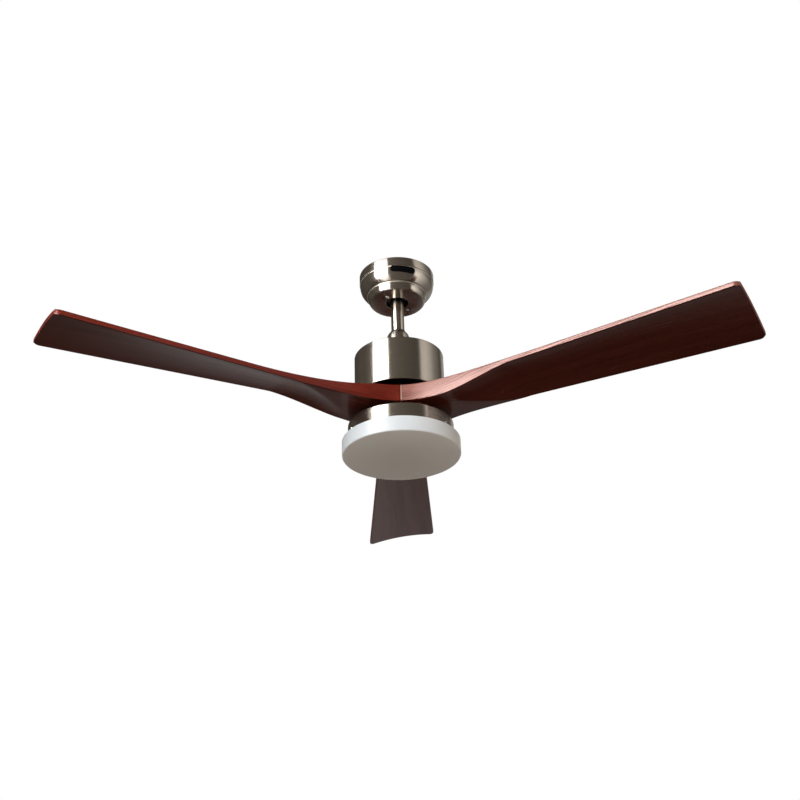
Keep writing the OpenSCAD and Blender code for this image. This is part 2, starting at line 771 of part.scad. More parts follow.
module carrier_screws() {
  color(steel) around(blade_count, boss_pos, front_angle) translate([0, 0, plank_top + fit])
    countersunk_up(screw_r, carrier_t + 8, screw_r * 2, screw_r);
}

// The blade runs along its own X axis. Its edges are straight from mid-span out, and flare to the seam
// so that the edges of two neighbours run into each other without a corner.
part_x = seam_r * cos(180 / blade_count);
part_w = seam_r * sin(180 / blade_count);
function line_w(x) = blade_half_w + blade_taper * (x - 300);
flare_w = part_w - line_w(part_x);
flare_k = (tan(90 - 180 / blade_count) + blade_taper) / flare_w;
function half_w(x) = x < part_x
  ? x * tan(180 / blade_count)
  : line_w(x) + flare_w * exp(-flare_k * (x - part_x));

// Underside and top of the carved part, at share s of the half width: -1 is the high edge, 1 the low one.
// The underside rises out of the flat root in a scoop, and the top falls away from the flat root.
carve_start = 108;
carve_end = 245;
fall_end = 320;
function arch(s) = blade_rise * (1 - s) / 2 + blade_camber * (1 - s * s);
function clamped(t) = min(1, max(0, t));
function eased(t) = (t + clamped(t) * clamped(t) * (3 - 2 * clamped(t))) / 2;
function scoop(x) = blade_rise * (1 - eased(min(1, (x - carve_start) / (carve_end - carve_start))));
function fall(x) = (plank_t - blade_t) * pow(max(0, fall_end - x) / (fall_end - seam_r), 2.1);
function under(x, s) = soft_max(0, arch(s) - scoop(x), 1);
function over(x, s) = soft_min(plank_t, arch(s) + blade_t + fall(x), 1.5);

root_steps = 2;
span_steps = 16;
tip_steps = 5;
across_steps = 10;
hub_x = hub_hole_r * cos(180 / blade_count);
tip_x = fan_r - tip_corner_r;
stations = concat(
  [for (i = [0 : root_steps]) hub_x + (part_x - hub_x) * i / root_steps],
  [for (i = [1 : span_steps]) part_x + (tip_x - part_x) * pow(i / span_steps, 1.5)],
  [for (i = [1 : tip_steps]) tip_x + tip_corner_r * sin(90 * i / tip_steps)]);

// Half width with the tip corners rounded off
function end_w(x) = half_w(x)
  - (x > tip_x ? tip_corner_r - sqrt(max(0, pow(tip_corner_r, 2) - pow(x - tip_x, 2))) : 0);

// One closed outline of the blade at station x, as points around the section
function section(x) =
  let (
    full = half_w(x),
    side = end_w(x) - (x < part_x + slice ? seam_gap / 2 / cos(180 / blade_count) : 0),
    c = min(edge_chamfer, side / 4),
    flat = side - c,
    shares = [for (i = [0 : across_steps]) -1 + 2 * i / across_steps]
  )
  concat(
    [for (u = shares) [x, u * flat, under(x, u * flat / full)]],
    [[x, side, under(x, side / full) + c], [x, side, over(x, side / full) - c]],
    [for (u = shares) [x, -u * flat, over(x, -u * flat / full)]],
    [[x, -side, over(x, -side / full) - c], [x, -side, under(x, -side / full) + c]]);

module blade_body() {
  rings = [for (x = stations) section(x)];
  m = len(rings[0]);
  n = len(rings);
  points = [for (r = rings) each r];
  side_faces = [for (i = [0 : n - 2], j = [0 : m - 1])
    let (k = (j + 1) % m)
    each [[i * m + j, i * m + k, (i + 1) * m + k], [i * m + j, (i + 1) * m + k, (i + 1) * m + j]]];
  root_face = [[for (j = [0 : m - 1]) m - 1 - j]];
  tip_face = [[for (j = [0 : m - 1]) (n - 1) * m + j]];
  polyhedron(points = points, faces = concat(side_faces, root_face, tip_face), convexity = 4);
}

module blade(i) {
  color(wood_red) rotate(blade_angles[i]) translate([0, 0, plank_bottom]) difference() {
    blade_body();
    translate([0, 0, -1]) cylinder(r = hub_hole_r, h = plank_t + 2, $fn = 48);
    for (p = blade_holes) translate([p[0], p[1], -1])
      cylinder(r = blade_screw_r + clear, h = plank_t + 2, $fn = 24);
  }
}

module blade_1() {
  blade(0);
}

module blade_2() {
  blade(1);
}

module blade_3() {
  blade(2);
}

module blade_clamp() {
  color(black) difference() {
    translate([0, 0, clamp_bottom]) ring(clamp_r, hub_hole_r, clamp_t);
    translate([0, 0, clamp_bottom - 1]) blade_hole_places()
      cylinder(r = blade_screw_r + fit, h = clamp_t + 2);
  }
}

module blade_screws() {
  l = clamp_t + plank_t + carrier_t - 0.5;
  color(steel) translate([0, 0, clamp_bottom]) blade_hole_places()
    screw_up(blade_screw_r, l, blade_screw_r * 1.7, 3);
}

// ---- Light kit ----

module kit_nut() {
  color(steel) difference() {
    translate([0, 0, adapter_top]) cylinder(r = nut_r, h = nut_h, $fn = 6);
    translate([0, 0, adapter_top - 1]) cylinder(r = shaft_r + fit, h = nut_h + 2);
  }
}

module kit_adapter() {
  color(black) difference() {
    translate([0, 0, pan_top]) cylinder(r = adapter_r, h = adapter_t);
    translate([0, 0, pan_top - 1]) cylinder(r = shaft_r + fit, h = adapter_t + 2);
    around(3, kit_screw_pos, kit_screw_angle) translate([0, 0, pan_top - 1])
      cylinder(r = screw_r + fit, h = adapter_t + 2);
  }
}

module kit_screws() {
  color(steel) around(3, kit_screw_pos, kit_screw_angle) translate([0, 0, pan_top - pan_wall])
    screw_up(screw_r, pan_wall + adapter_t - 0.5, screw_r * 1.8, 1.6);
}

module kit_pan() {
  e = 2.5;
  w = pan_wall;
  color(nickel) difference() {
    rotate_extrude() polygon(concat(
      [[0, pan_top]],
      arc(pan_r - e, pan_top - e, e, 90, 0, 8),
      [[pan_r, pan_bottom], [pan_r - w, pan_bottom]],
      arc(pan_r - e, pan_top - e, e - w, 0, 90, 6),
      [[0, pan_top - w]]));
    translate([0, 0, pan_top - w - 1]) cylinder(r = pan_hole_r, h = w + 2);
    around(3, kit_screw_pos, kit_screw_angle) translate([0, 0, pan_top - w - 1])
      cylinder(r = screw_r + fit, h = w + 2);
    around(3, post_pos, 0) translate([0, 0, pan_top - w - 1]) cylinder(r = screw_r + fit, h = w + 2);
    around(3, pan_r - w - 2, stud_angle) translate([0, 0, stud_z]) rotate([0, 90, 0])
      cylinder(r = stud_r + fit, h = w + 4);
  }
}

// Round-headed studs through the pan wall. Their inner ends run in the slots of the diffuser's collar.
module bayonet_studs() {
  color(zinc) around(3, pan_r, stud_angle) translate([0, 0, stud_z]) rotate([0, 90, 0]) {
    translate([0, 0, -pan_wall - stud_reach]) cylinder(r = stud_r, h = pan_wall + stud_reach);
    rotate_extrude()
      polygon(concat([[0, 0]], arc(0, 0, stud_r * 1.5, 0, stud_dome, 6), [[0, stud_r * 1.3]]));
  }
}

module light_driver() {
  h = pan_top - pan_wall - sink_top - 1;
  color(opal) difference() {
    translate([-driver_l / 2, driver_y, sink_top + 1]) cube([driver_l, driver_w, h]);
    for (s = [-1, 1]) translate([s * (driver_l / 2 - 4), driver_y + driver_w / 2, sink_top])
      cylinder(r = 1.8, h = h + 2);
  }
}

module sink_posts() {
  color(steel) around(3, post_pos, 0) translate([0, 0, sink_top]) difference() {
    cylinder(r = post_r, h = pan_top - pan_wall - sink_top, $fn = 6);
    translate([0, 0, -1]) cylinder(r = screw_r + fit, h = 9);
  }
}

module heat_sink() {
  color(alloy) difference() {
    translate([0, 0, sink_bottom]) cylinder(r = sink_r, h = sink_t);
    around(3, post_pos, 0) translate([0, 0, sink_bottom - 1]) cylinder(r = screw_r + fit, h = sink_t + 2);
  }
}

module led_board() {
  color(opal) difference() {
    translate([0, 0, board_bottom]) cylinder(r = sink_r - 2, h = board_t);
    around(3, post_pos, 0) translate([0, 0, board_bottom - 1])
      cylinder(r = screw_r + fit, h = board_t + 2);
  }
}

module led_chips() {
  chip = 3;
  chip_h = 0.8;
  color(phosphor) for (k = [1 : 3])
    around(6 * k, (post_pos - 12) * k / 3, 15) translate([-chip / 2, -chip / 2, board_bottom - chip_h])
      cube([chip, chip, chip_h]);
}

module sink_screws() {
  color(steel) around(3, post_pos, 0) translate([0, 0, board_bottom])
    screw_up(screw_r, board_t + sink_t + 6, screw_r * 1.8, 1.6);
}

// Opal drum with a collar that stands up inside the pan, and three bayonet slots in the collar
module diffuser() {
  w = diffuser_wall;
  e = diffuser_edge_r;
  slot_r = stud_r + clear;
  margin = asin(slot_r / collar_r);
  color(opal) difference() {
    rotate_extrude() polygon(concat(
      [[0, diffuser_bottom]],
      arc(diffuser_r - e, diffuser_bottom + e, e, -90, 0, 8),
      arc(diffuser_r - 1, shoulder_z - 1, 1, 0, 90, 4),
      [[collar_r, shoulder_z], [collar_r, collar_top], [collar_r - w, collar_top]],
      [[collar_r - w, shoulder_z - w], [diffuser_r - w, shoulder_z - w]],
      arc(diffuser_r - e, diffuser_bottom + e, e - w, 0, -90, 8),
      [[0, diffuser_bottom + w]]));
    for (i = [0 : 2]) rotate(stud_angle + i * 120) {
      z = stud_z - slot_r;
      bayonet_cut(-twist_deg - margin, margin, z, slot_r * 2);
      bayonet_cut(-twist_deg - margin, -twist_deg + margin, z, collar_top - z + 1);
    }
  }
}

// A cut through the collar between two angles
module bayonet_cut(a0, a1, z, h) {
  reach = collar_r * 1.2;
  inner = collar_r - diffuser_wall - 1;
  translate([0, 0, z]) intersection() {
    ring(reach, inner, h);
    translate([0, 0, -1]) linear_extrude(h + 2)
      polygon(concat([[0, 0]], arc(0, 0, 2 * reach, a0, a1, 4)));
  }
}

hanger_bracket();
receiver();
terminal_block();
earth_screw();
canopy();
canopy_screws();
canopy_badge();
ball_liner();
hanger_ball();
ball_pin();
downrod();
rod_grommet();
wiring_harness();
harness_plug();
yoke();
yoke_pin();
yoke_clip();
yoke_set_screws();
yoke_cover();
housing_screws();
motor_housing();
motor_bracket();
motor_shaft();
shaft_circlips();
stator_core();
stator_coils();
rotor_upper_shell();
rotor_lower_shell();
rotor_magnets();
rotor_screws();
upper_bearing();
lower_bearing();
blade_carrier();
carrier_screws();
blade_1();
blade_2();
blade_3();
blade_clamp();
blade_screws();
kit_nut();
kit_adapter();
kit_screws();
kit_pan();
bayonet_studs();
light_driver();
sink_posts();
heat_sink();
led_board();
led_chips();
sink_screws();
diffuser();
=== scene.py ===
"""Looks of the ceiling fan: carved blades, turned metal shells, an opal diffuser and their finishes, around
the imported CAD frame."""

import json
import math

import bmesh
import bpy
from mathutils import Matrix, Vector


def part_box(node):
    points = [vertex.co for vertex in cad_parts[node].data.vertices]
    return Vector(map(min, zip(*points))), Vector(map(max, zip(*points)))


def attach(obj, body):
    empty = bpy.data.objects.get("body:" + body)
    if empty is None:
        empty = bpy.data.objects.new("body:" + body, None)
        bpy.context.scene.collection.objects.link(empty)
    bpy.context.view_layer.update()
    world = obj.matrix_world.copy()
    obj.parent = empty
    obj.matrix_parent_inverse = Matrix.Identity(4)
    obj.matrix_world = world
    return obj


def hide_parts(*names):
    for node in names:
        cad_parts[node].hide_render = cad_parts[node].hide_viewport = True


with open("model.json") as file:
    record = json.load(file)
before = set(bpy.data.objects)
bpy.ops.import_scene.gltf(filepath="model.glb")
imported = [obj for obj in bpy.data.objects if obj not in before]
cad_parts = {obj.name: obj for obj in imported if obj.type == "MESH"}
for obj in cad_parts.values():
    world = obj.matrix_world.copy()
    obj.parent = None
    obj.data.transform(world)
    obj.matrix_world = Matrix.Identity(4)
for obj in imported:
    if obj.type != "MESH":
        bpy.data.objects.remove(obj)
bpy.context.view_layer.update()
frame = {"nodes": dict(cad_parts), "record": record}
nodes = frame["nodes"]

MM = 0.001
TAU = 2 * math.pi


# ---- Meshes ----

ON_AXIS = 1e-7
PLAIN_SHARP_DEG = 35
CUT_SHARP_DEG = 30


def circle(r, n, cx=0.0, cy=0.0):
    """n points around a circle."""
    return [(cx + r * math.cos(TAU * k / n), cy + r * math.sin(TAU * k / n)) for k in range(n)]


def arc(cx, cy, r, a0, a1, n):
    """An arc in n steps, from angle a0 to a1 in degrees."""
    steps = [math.radians(a0 + (a1 - a0) * i / n) for i in range(n + 1)]
    return [(cx + r * math.cos(a), cy + r * math.sin(a)) for a in steps]


def scaled(points):
    """Turns millimetres into metres."""
    return [(x * MM, y * MM) for x, y in points]


def smooth(t):
    """Eases t from 0 to 1, with level ends."""
    return t * t * (3 - 2 * t)


def shade(mesh, sharp_deg):
    """Shades a mesh smooth, with edges over sharp_deg kept crisp."""
    mesh.polygons.foreach_set("use_smooth", [True] * len(mesh.polygons))
    mesh.set_sharp_from_angle(angle=math.radians(sharp_deg))


def linked(name, data):
    """A new object of the scene."""
    obj = bpy.data.objects.new(name, data)
    bpy.context.scene.collection.objects.link(obj)
    return obj


def mesh_object(name, verts, faces, sharp_deg=PLAIN_SHARP_DEG):
    """A smooth-shaded mesh object with its faces turned outwards."""
    mesh = bpy.data.meshes.new(name)
    mesh.from_pydata([tuple(v) for v in verts], [], faces)
    bm = bmesh.new()
    bm.from_mesh(mesh)
    bmesh.ops.recalc_face_normals(bm, faces=bm.faces)
    bm.to_mesh(mesh)
    bm.free()
    shade(mesh, sharp_deg)
    return linked(name, mesh)


def lathe(name, profile, segments, sharp_deg):
    """Turns a closed profile of (radius, height) points around Z. Points on the axis share one vertex."""
    verts, rows = [], []
    for r, z in profile:
        if r < ON_AXIS:
            rows.append([len(verts)] * segments)
            verts.append((0, 0, z))
            continue
        rows.append(list(range(len(verts), len(verts) + segments)))
        verts += [(x, y, z) for x, y in circle(r, segments)]
    faces = []
    for i in range(len(rows)):
        a, b = rows[i], rows[(i + 1) % len(rows)]
        for k in range(segments):
            m = (k + 1) % segments
            ring = list(dict.fromkeys([a[k], a[m], b[m], b[k]]))
            if len(ring) > 2:
                faces.append(ring)
    return mesh_object(name, verts, faces, sharp_deg)


def bored(obj, cutters):
    """Cuts the cutters' volumes out of the piece, applies the result and removes the cutters."""
    for cutter in cutters:
        cut = obj.modifiers.new("cut", "BOOLEAN")
        cut.operation = "DIFFERENCE"
        cut.solver = "EXACT"
        cut.object = cutter
    graph = bpy.context.evaluated_depsgraph_get()
    mesh = bpy.data.meshes.new_from_object(obj.evaluated_get(graph))
    obj.modifiers.clear()
    old, obj.data = obj.data, mesh
    bpy.data.meshes.remove(old)
    for cutter in cutters:
        bpy.data.objects.remove(cutter)
    shade(mesh, CUT_SHARP_DEG)


def prism(name, outline, z0, z1):
    """A closed prism over a flat outline of (x, y) points."""
    n = len(outline)
    verts = [(x, y, z) for z in (z0, z1) for x, y in outline]
    faces = [tuple(range(n - 1, -1, -1)), tuple(range(n, 2 * n))]
    faces += [(i, (i + 1) % n, n + (i + 1) % n, n + i) for i in range(n)]
    return mesh_object(name, verts, faces)


def joined(name, objects):
    """Merges several mesh objects into one piece."""
    bm = bmesh.new()
    for obj in objects:
        part = obj.data.copy()
        part.transform(obj.matrix_basis)
        bm.from_mesh(part)
        bpy.data.meshes.remove(part)
        bpy.data.objects.remove(obj)
    mesh = bpy.data.meshes.new(name)
    bm.to_mesh(mesh)
    bm.free()
    shade(mesh, PLAIN_SHARP_DEG)
    return linked(name, mesh)


def dress(obj, body, materials, slot, *replaced):
    """Puts a piece on its body with its materials, in place of the CAD nodes it stands for."""
    obj.data.materials.clear()
    for material in materials:
        obj.data.materials.append(material)
    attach(obj, body)
    if replaced:
        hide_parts(*replaced)


# ---- Camera ----

# The camera stands on a circle around the fan's axis, in front of and below the blades.
CAMERA_TURN = math.radians(-0.47)
CAMERA_BACK = 1.8952
CAMERA_Z = -1.2673
CAMERA_PITCH = math.radians(27.66)
CAMERA_ROLL = math.radians(-1.6727)
CAMERA_LENS = 51.375
CAMERA_SENSOR = 36
CAMERA_REACH = 50


def make_camera():
    data = bpy.data.cameras.new("camera")
    data.lens, data.sensor_width, data.clip_end = CAMERA_LENS, CAMERA_SENSOR, CAMERA_REACH
    camera = linked("camera", data)
    turn = Matrix.Rotation(CAMERA_TURN, 4, "Z")
    place = Matrix.Translation((0, -CAMERA_BACK, CAMERA_Z))
    aim = Matrix.Rotation(math.pi / 2 + CAMERA_PITCH, 4, "X") @ Matrix.Rotation(CAMERA_ROLL, 4, "Z")
    camera.matrix_world = turn @ place @ aim
    bpy.context.scene.camera = camera


make_camera()


# ---- Materials ----

class Shader:
    """A node material built around one Principled shader."""

    def __init__(self, name, **sockets):
        self.material = bpy.data.materials.new(name)
        self.material.use_nodes = True
        self.tree = self.material.node_tree
        self.bsdf = self.tree.nodes["Principled BSDF"]
        for key, value in sockets.items():
            self.bsdf.inputs[key.replace("_", " ")].default_value = value

    def node(self, kind, **values):
        made = self.tree.nodes.new("ShaderNode" + kind)
        for key, value in values.items():
            if key in made.inputs:
                made.inputs[key].default_value = value
            else:
                setattr(made, key, value)
        return made

    def link(self, source, target):
        self.tree.links.new(source, target)

    def mapped(self, vector, scale, shift=(0, 0, 0)):
        """A vector, scaled and then shifted."""
        place = self.node("Mapping")
        place.inputs["Scale"].default_value = scale
        place.inputs["Location"].default_value = shift
        self.link(vector, place.inputs["Vector"])
        return place.outputs["Vector"]

    def coords(self, scale=(1, 1, 1), shift=(0, 0, 0)):
        """Object coordinates in metres, scaled and shifted."""
        return self.mapped(self.node("TexCoord").outputs["Object"], scale, shift)

    def split(self, vector):
        """The X, Y and Z outputs of a vector."""
        made = self.node("SeparateXYZ")
        self.link(vector, made.inputs[0])
        return made.outputs

    def noise(self, vector, scale, detail, rough=0.5):
        made = self.node("TexNoise", Scale=scale, Detail=detail, Roughness=rough)
        self.link(vector, made.inputs["Vector"])
        return made.outputs["Fac"]

    def ramp(self, value, stops):
        """A colour ramp over value: stops are (position, colour), a colour being a grey or three numbers."""
        made = self.node("ValToRGB")
        elements = made.color_ramp.elements
        while len(elements) < len(stops):
            elements.new(0.5)
        for element, (position, colour) in zip(elements, stops):
            element.position = position
            rgb = colour if hasattr(colour, "__len__") else (colour,) * 3
            element.color = (*rgb, 1)
        self.link(value, made.inputs["Fac"])
        return made.outputs["Color"]

    def mix(self, factor, a, b, blend="MIX"):
        made = self.node("Mix", data_type="RGBA", blend_type=blend)
        for socket, value in (("Factor", factor), ("A", a), ("B", b)):
            target = [i for i in made.inputs if i.name == socket and i.enabled][0]
            if isinstance(value, bpy.types.NodeSocket):
                self.link(value, target)
            else:
                target.default_value = value if socket == "Factor" else (*value, 1)
        return [o for o in made.outputs if o.enabled][0]

    def math(self, operation, a, b=0.0):
        made = self.node("Math", operation=operation)
        for target, value in zip(made.inputs, (a, b)):
            if isinstance(value, bpy.types.NodeSocket):
                self.link(value, target)
            else:
                target.default_value = value
        return made.outputs[0]

    def colour(self, source):
        self.link(source, self.bsdf.inputs["Base Color"])

    def roughness(self, source):
        self.link(source, self.bsdf.inputs["Roughness"])

    def bump(self, height, distance, strength):
        made = self.node("Bump", Distance=distance, Strength=strength)
        self.link(height, made.inputs["Height"])
        self.link(made.outputs["Normal"], self.bsdf.inputs["Normal"])


def tint(colour, factor):
    return tuple(c * factor for c in colour)


NICKEL_DARK = (0.575, 0.53, 0.475)
NICKEL_LIGHT = (0.63, 0.585, 0.53)
NICKEL_CLOUD = (0.50, 0.455, 0.40)
NICKEL_ROUGH = (0.17, 0.23)
RING_LINES = (40.0, 40.0, 900.0)


def brushed_nickel(name, blur):
    """Satin nickel plate, turned on a lathe: fine rings around Z blur reflections across themselves only."""
    s = Shader(name, Metallic=1.0, Anisotropic=0.9, Anisotropic_Rotation=0.25)
    tangent = s.node("Tangent", direction_type="RADIAL", axis="Z")
    s.link(tangent.outputs["Tangent"], s.bsdf.inputs["Tangent"])
    lines = s.noise(s.coords(RING_LINES), 1.0, 3.0, 0.6)
    clouds = s.noise(s.coords(), 26.0, 4.0, 0.6)
    tone = s.ramp(lines, [(0.3, NICKEL_DARK), (0.7, NICKEL_LIGHT)])
    s.colour(s.mix(s.ramp(clouds, [(0.4, 0.0), (0.75, 0.35)]), tone, NICKEL_CLOUD))
    s.roughness(s.ramp(lines, [(0.25, NICKEL_ROUGH[0] * blur), (0.75, NICKEL_ROUGH[1] * blur)]))
    s.bump(lines, 0.000006, 0.03)
    return s.material


def machined(name, colour, rough, metallic=1.0):
    """A cut, cast or painted metal with a fine grain and faint stains."""
    s = Shader(name, Metallic=metallic)
    grain = s.noise(s.coords(), 220.0, 4.0)
    stain = s.noise(s.coords(), 25.0, 3.0)
    s.colour(s.mix(s.ramp(stain, [(0.35, 0.0), (0.7, 1.0)]), colour, tint(colour, 0.8)))
    s.roughness(s.ramp(grain, [(0.3, rough * 0.8), (0.7, min(1.0, rough * 1.25))]))
    s.bump(grain, 0.00006, 0.35)
    return s.material


def polished(name, colour, rough):
    """A small plated part: bright, with a faint cloudiness."""
    s = Shader(name, Metallic=1.0)
    cloud = s.noise(s.coords(), 300.0, 2.0)
    s.colour(s.ramp(cloud, [(0.3, tint(colour, 0.9)), (0.7, colour)]))
    s.roughness(s.ramp(cloud, [(0.3, rough * 0.8), (0.7, rough * 1.2)]))
    return s.material


def lacquer(name, colour, rough):
    """Deep, barely glossy lacquer."""
    s = Shader(name, Specular_IOR_Level=0.04)
    cloud = s.noise(s.coords(), 400.0, 2.0)
    s.colour(s.ramp(cloud, [(0.3, colour), (0.7, tint(colour, 1.4))]))
    s.roughness(s.ramp(cloud, [(0.3, rough * 0.9), (0.7, rough * 1.1)]))
    return s.material


def moulded(name, colour, rough, coat=0.0):
    """A moulded plastic or rubber with a fine texture."""
    s = Shader(name, Coat_Weight=coat, Coat_Roughness=0.2)
    grain = s.noise(s.coords(), 900.0, 2.0)
    cloud = s.noise(s.coords(), 9.0, 2.0)
    lighter = tuple(min(1.0, c * 1.12 + 0.004) for c in colour)
    s.colour(s.mix(s.ramp(cloud, [(0.3, 0.0), (0.7, 1.0)]), colour, lighter))
    s.roughness(s.ramp(grain, [(0.3, rough * 0.9), (0.7, min(1.0, rough * 1.1))]))
    s.bump(grain, 0.00005, 0.4)
    return s.material


OPAL_LOW = (0.80, 0.81, 0.82)
OPAL_HIGH = (0.84, 0.845, 0.85)
# These numbers paint shade: a darker middle on the bottom, and the drum darker from front to back, more on
# the bottom than on the wall.
OPAL_MIDDLE_SHADE = (0.86, 0.845, 0.835)
OPAL_RIM = (1.0, 1.0, 1.0)
OPAL_ACROSS = 4.5
OPAL_WALL = 400


def opal():
    """Satin opal acrylic, lit from outside: cool white, with painted shade, darker in the middle of its
    bottom and towards the back, most on the bottom face.
    """
    s = Shader("opal_acrylic", Subsurface_Weight=0.12, Subsurface_Scale=0.01,
               Coat_Weight=0.12, Coat_Roughness=0.22)
    cloud = s.ramp(s.noise(s.coords(), 6.0, 2.0), [(0.3, OPAL_LOW), (0.7, OPAL_HIGH)])
    grain = s.noise(s.coords(), 1500.0, 2.0)
    # Painted shade: the bottom darker towards its middle.
    away = s.node("VectorMath", operation="LENGTH")
    s.link(s.coords((1, 1, 0)), away.inputs[0])
    depth = s.ramp(away.outputs["Value"], [(0.02, OPAL_MIDDLE_SHADE), (0.105, OPAL_RIM)])
    # Painted shade: darker from the front (-Y) to the back (+Y), strongly on the bottom face and mildly on
    # the wall.
    back = s.split(s.coords((OPAL_ACROSS,) * 3, (0.5, 0.5, 0.5)))["Y"]
    flank = s.ramp(back, [(0.0, 1.04), (1.0, 0.90)])
    base = s.ramp(back, [(0.0, 1.06), (0.5, 0.88), (1.0, 0.72)])
    height = s.split(s.coords((1, 1, OPAL_WALL), (0, 0, -OPAL_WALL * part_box("diffuser")[0].z)))["Z"]
    back_shade = s.mix(s.ramp(height, [(0.1, 0.0), (1.0, 1.0)]), base, flank)
    s.colour(s.mix(1.0, s.mix(1.0, cloud, depth, "MULTIPLY"), back_shade, "MULTIPLY"))
    s.roughness(s.ramp(grain, [(0.3, 0.38), (0.7, 0.46)]))
    s.bump(grain, 0.00002, 0.3)
    return s.material


CLIMB_END = 0.12
CLIMB_WAY = (0.0, 0.5, 0.87)
WARP_SCALE = (1, 3, 3)
WARP_REACH = (0.0, 0.05, 0.05)
STREAK_SCALE = (1.3, 60, 60)
BAND_SCALE = (0.5, 11, 11)
PORE_SCALE = (22, 900, 900)
PATCH_SCALE = (9, 50, 50)
MARK_SCALE = (420, 420, 420)
RING_SCALE = (0.15, 1.0, 1.0)
RINGS_PER_METRE = 74.0


def stained_wood(name, shift, climb, dark, light, rings, gloss, rough, ripple):
    """Stained and lacquered wood, its grain along X: growth rings as fine dark lines, streaks and pores.
    climb is how steeply the rings rise along X at the root, rings how dark they are, and ripple how deep
    the tool marks are."""
    s = Shader(name)
    warp = s.node("TexNoise", Scale=2.6, Detail=2.0)
    s.link(s.coords(WARP_SCALE, shift), warp.inputs["Vector"])
    bend = s.node("VectorMath", operation="MULTIPLY_ADD")
    s.link(warp.outputs["Color"], bend.inputs[0])
    bend.inputs[1].default_value = WARP_REACH
    s.link(s.coords((1, 1, 1), shift), bend.inputs[2])
    grain = bend.outputs[0]

    streaks = s.noise(s.mapped(grain, STREAK_SCALE), 1.0, 5.0, 0.62)
    bands = s.noise(s.mapped(grain, BAND_SCALE), 1.0, 3.0)
    pores = s.noise(s.mapped(grain, PORE_SCALE), 1.0, 2.0, 0.6)

    height = s.node("VectorMath", operation="DOT_PRODUCT")
    s.link(grain, height.inputs[0])
    height.inputs[1].default_value = CLIMB_WAY
    length = s.split(s.coords())["X"]
    lift = s.math("MULTIPLY", s.math("TANH", s.math("DIVIDE", length, CLIMB_END)), climb * CLIMB_END)
    squashed = s.split(s.mapped(grain, RING_SCALE))
    place = s.node("CombineXYZ")
    s.link(squashed["X"], place.inputs[0])
    s.link(squashed["Y"], place.inputs[1])
    s.link(s.math("SUBTRACT", height.outputs["Value"], lift), place.inputs[2])
    ring = s.node("TexWave", wave_type="BANDS", bands_direction="Z", wave_profile="SAW",
                  Scale=RINGS_PER_METRE, Distortion=5.0, Detail=3.0)
    ring.inputs["Detail Scale"].default_value = 0.7
    s.link(place.outputs[0], ring.inputs["Vector"])
    thin = s.ramp(ring.outputs["Fac"], [(0.0, 1.0), (0.14, 0.5), (0.36, 0.0)])
    patchy = s.ramp(s.noise(s.mapped(grain, PATCH_SCALE), 1.0, 2.0), [(0.36, 0.1), (0.58, 1.0)])
    lines = s.math("MULTIPLY", s.math("MULTIPLY", thin, patchy), rings)

    tone = s.mix(s.ramp(streaks, [(0.32, 0.0), (0.68, 1.0)]), dark, light)
    tone = s.mix(s.ramp(bands, [(0.45, 0.0), (0.72, 0.4)]), tone, tint(dark, 0.6))
    tone = s.mix(lines, tone, tint(dark, 0.16))
    s.colour(s.mix(s.ramp(pores, [(0.56, 0.0), (0.68, 0.5)]), tone, tint(dark, 0.35)))
    glossier = s.ramp(streaks, [(0.34, gloss * 0.72), (0.66, gloss * 1.26)])
    s.link(glossier, s.bsdf.inputs["Specular IOR Level"])
    even = s.ramp(streaks, [(0.3, rough * 0.9), (0.7, rough * 1.15)])
    s.roughness(s.math("ADD", even, s.math("MULTIPLY", lines, 0.5)))
    relief = s.math("SUBTRACT", s.math("MULTIPLY", pores, 0.3), s.math("MULTIPLY", lines, 2.5))
    marks = s.math("MULTIPLY", s.noise(s.mapped(grain, MARK_SCALE), 1.0, 1.0), ripple)
    s.bump(s.math("ADD", relief, marks), 0.00008, 0.8)
    return s.material


nickel = brushed_nickel("brushed_nickel", 1.0)
soft_nickel = brushed_nickel("brushed_nickel_soft", 1.2)
# The beads' nickel is brighter than the rest, on a rougher finish: a painted highlight along the canopy's
# beads.
bead_highlight_nickel = polished("nickel_bead_highlight", (0.72, 0.68, 0.62), 0.42)
screw_plate = polished("screw_plate", (0.86, 0.85, 0.83), 0.22)
black_steel = machined("black_steel", (0.018, 0.018, 0.02), 0.45, 0.0)
rubber = moulded("black_rubber", (0.015, 0.015, 0.015), 0.7)
badge_black = lacquer("badge_lacquer", (0.003, 0.003, 0.0035), 0.28)
diffuser_opal = opal()

# The three blades have materials of their own, made with them below.
SLOT_MATERIAL = {
    "brushed_nickel": nickel,
    "zinc_steel": machined("zinc_plate", (0.66, 0.66, 0.68), 0.32),
    "steel": machined("steel", (0.52, 0.52, 0.54), 0.3),
    "cast_alloy": machined("cast_alloy", (0.50, 0.50, 0.52), 0.5),
    "black_alloy": black_steel,
    "black_plastic": moulded("black_plastic", (0.018, 0.018, 0.02), 0.45),
    "black_rubber": rubber,
    "black_steel": black_steel,
    "opal_plastic": diffuser_opal,
    "white_plastic": moulded("white_plastic", (0.80, 0.80, 0.79), 0.4),
    "cable_sleeve": moulded("cable_sleeve", (0.62, 0.62, 0.58), 0.7),
    "green_paint": machined("green_paint", (0.05, 0.30, 0.09), 0.4, 0.0),
    "lamination": machined("lamination", (0.30, 0.30, 0.32), 0.45),
    "copper_wire": machined("copper_wire", (0.62, 0.25, 0.10), 0.35),
    "magnet": machined("magnet", (0.10, 0.10, 0.11), 0.4),
    "led_lens": moulded("led_lens", (0.85, 0.70, 0.20), 0.3, 0.5),
}


def dress_nodes():
    """Every CAD node takes the material of its slot."""
    for part in frame["record"]["subparts"]:
        mesh = nodes[part["node"]].data
        mesh.materials.clear()
        if part["material_slot"] in SLOT_MATERIAL:
            mesh.materials.append(SLOT_MATERIAL[part["material_slot"]])


dress_nodes()


# ---- Blades ----

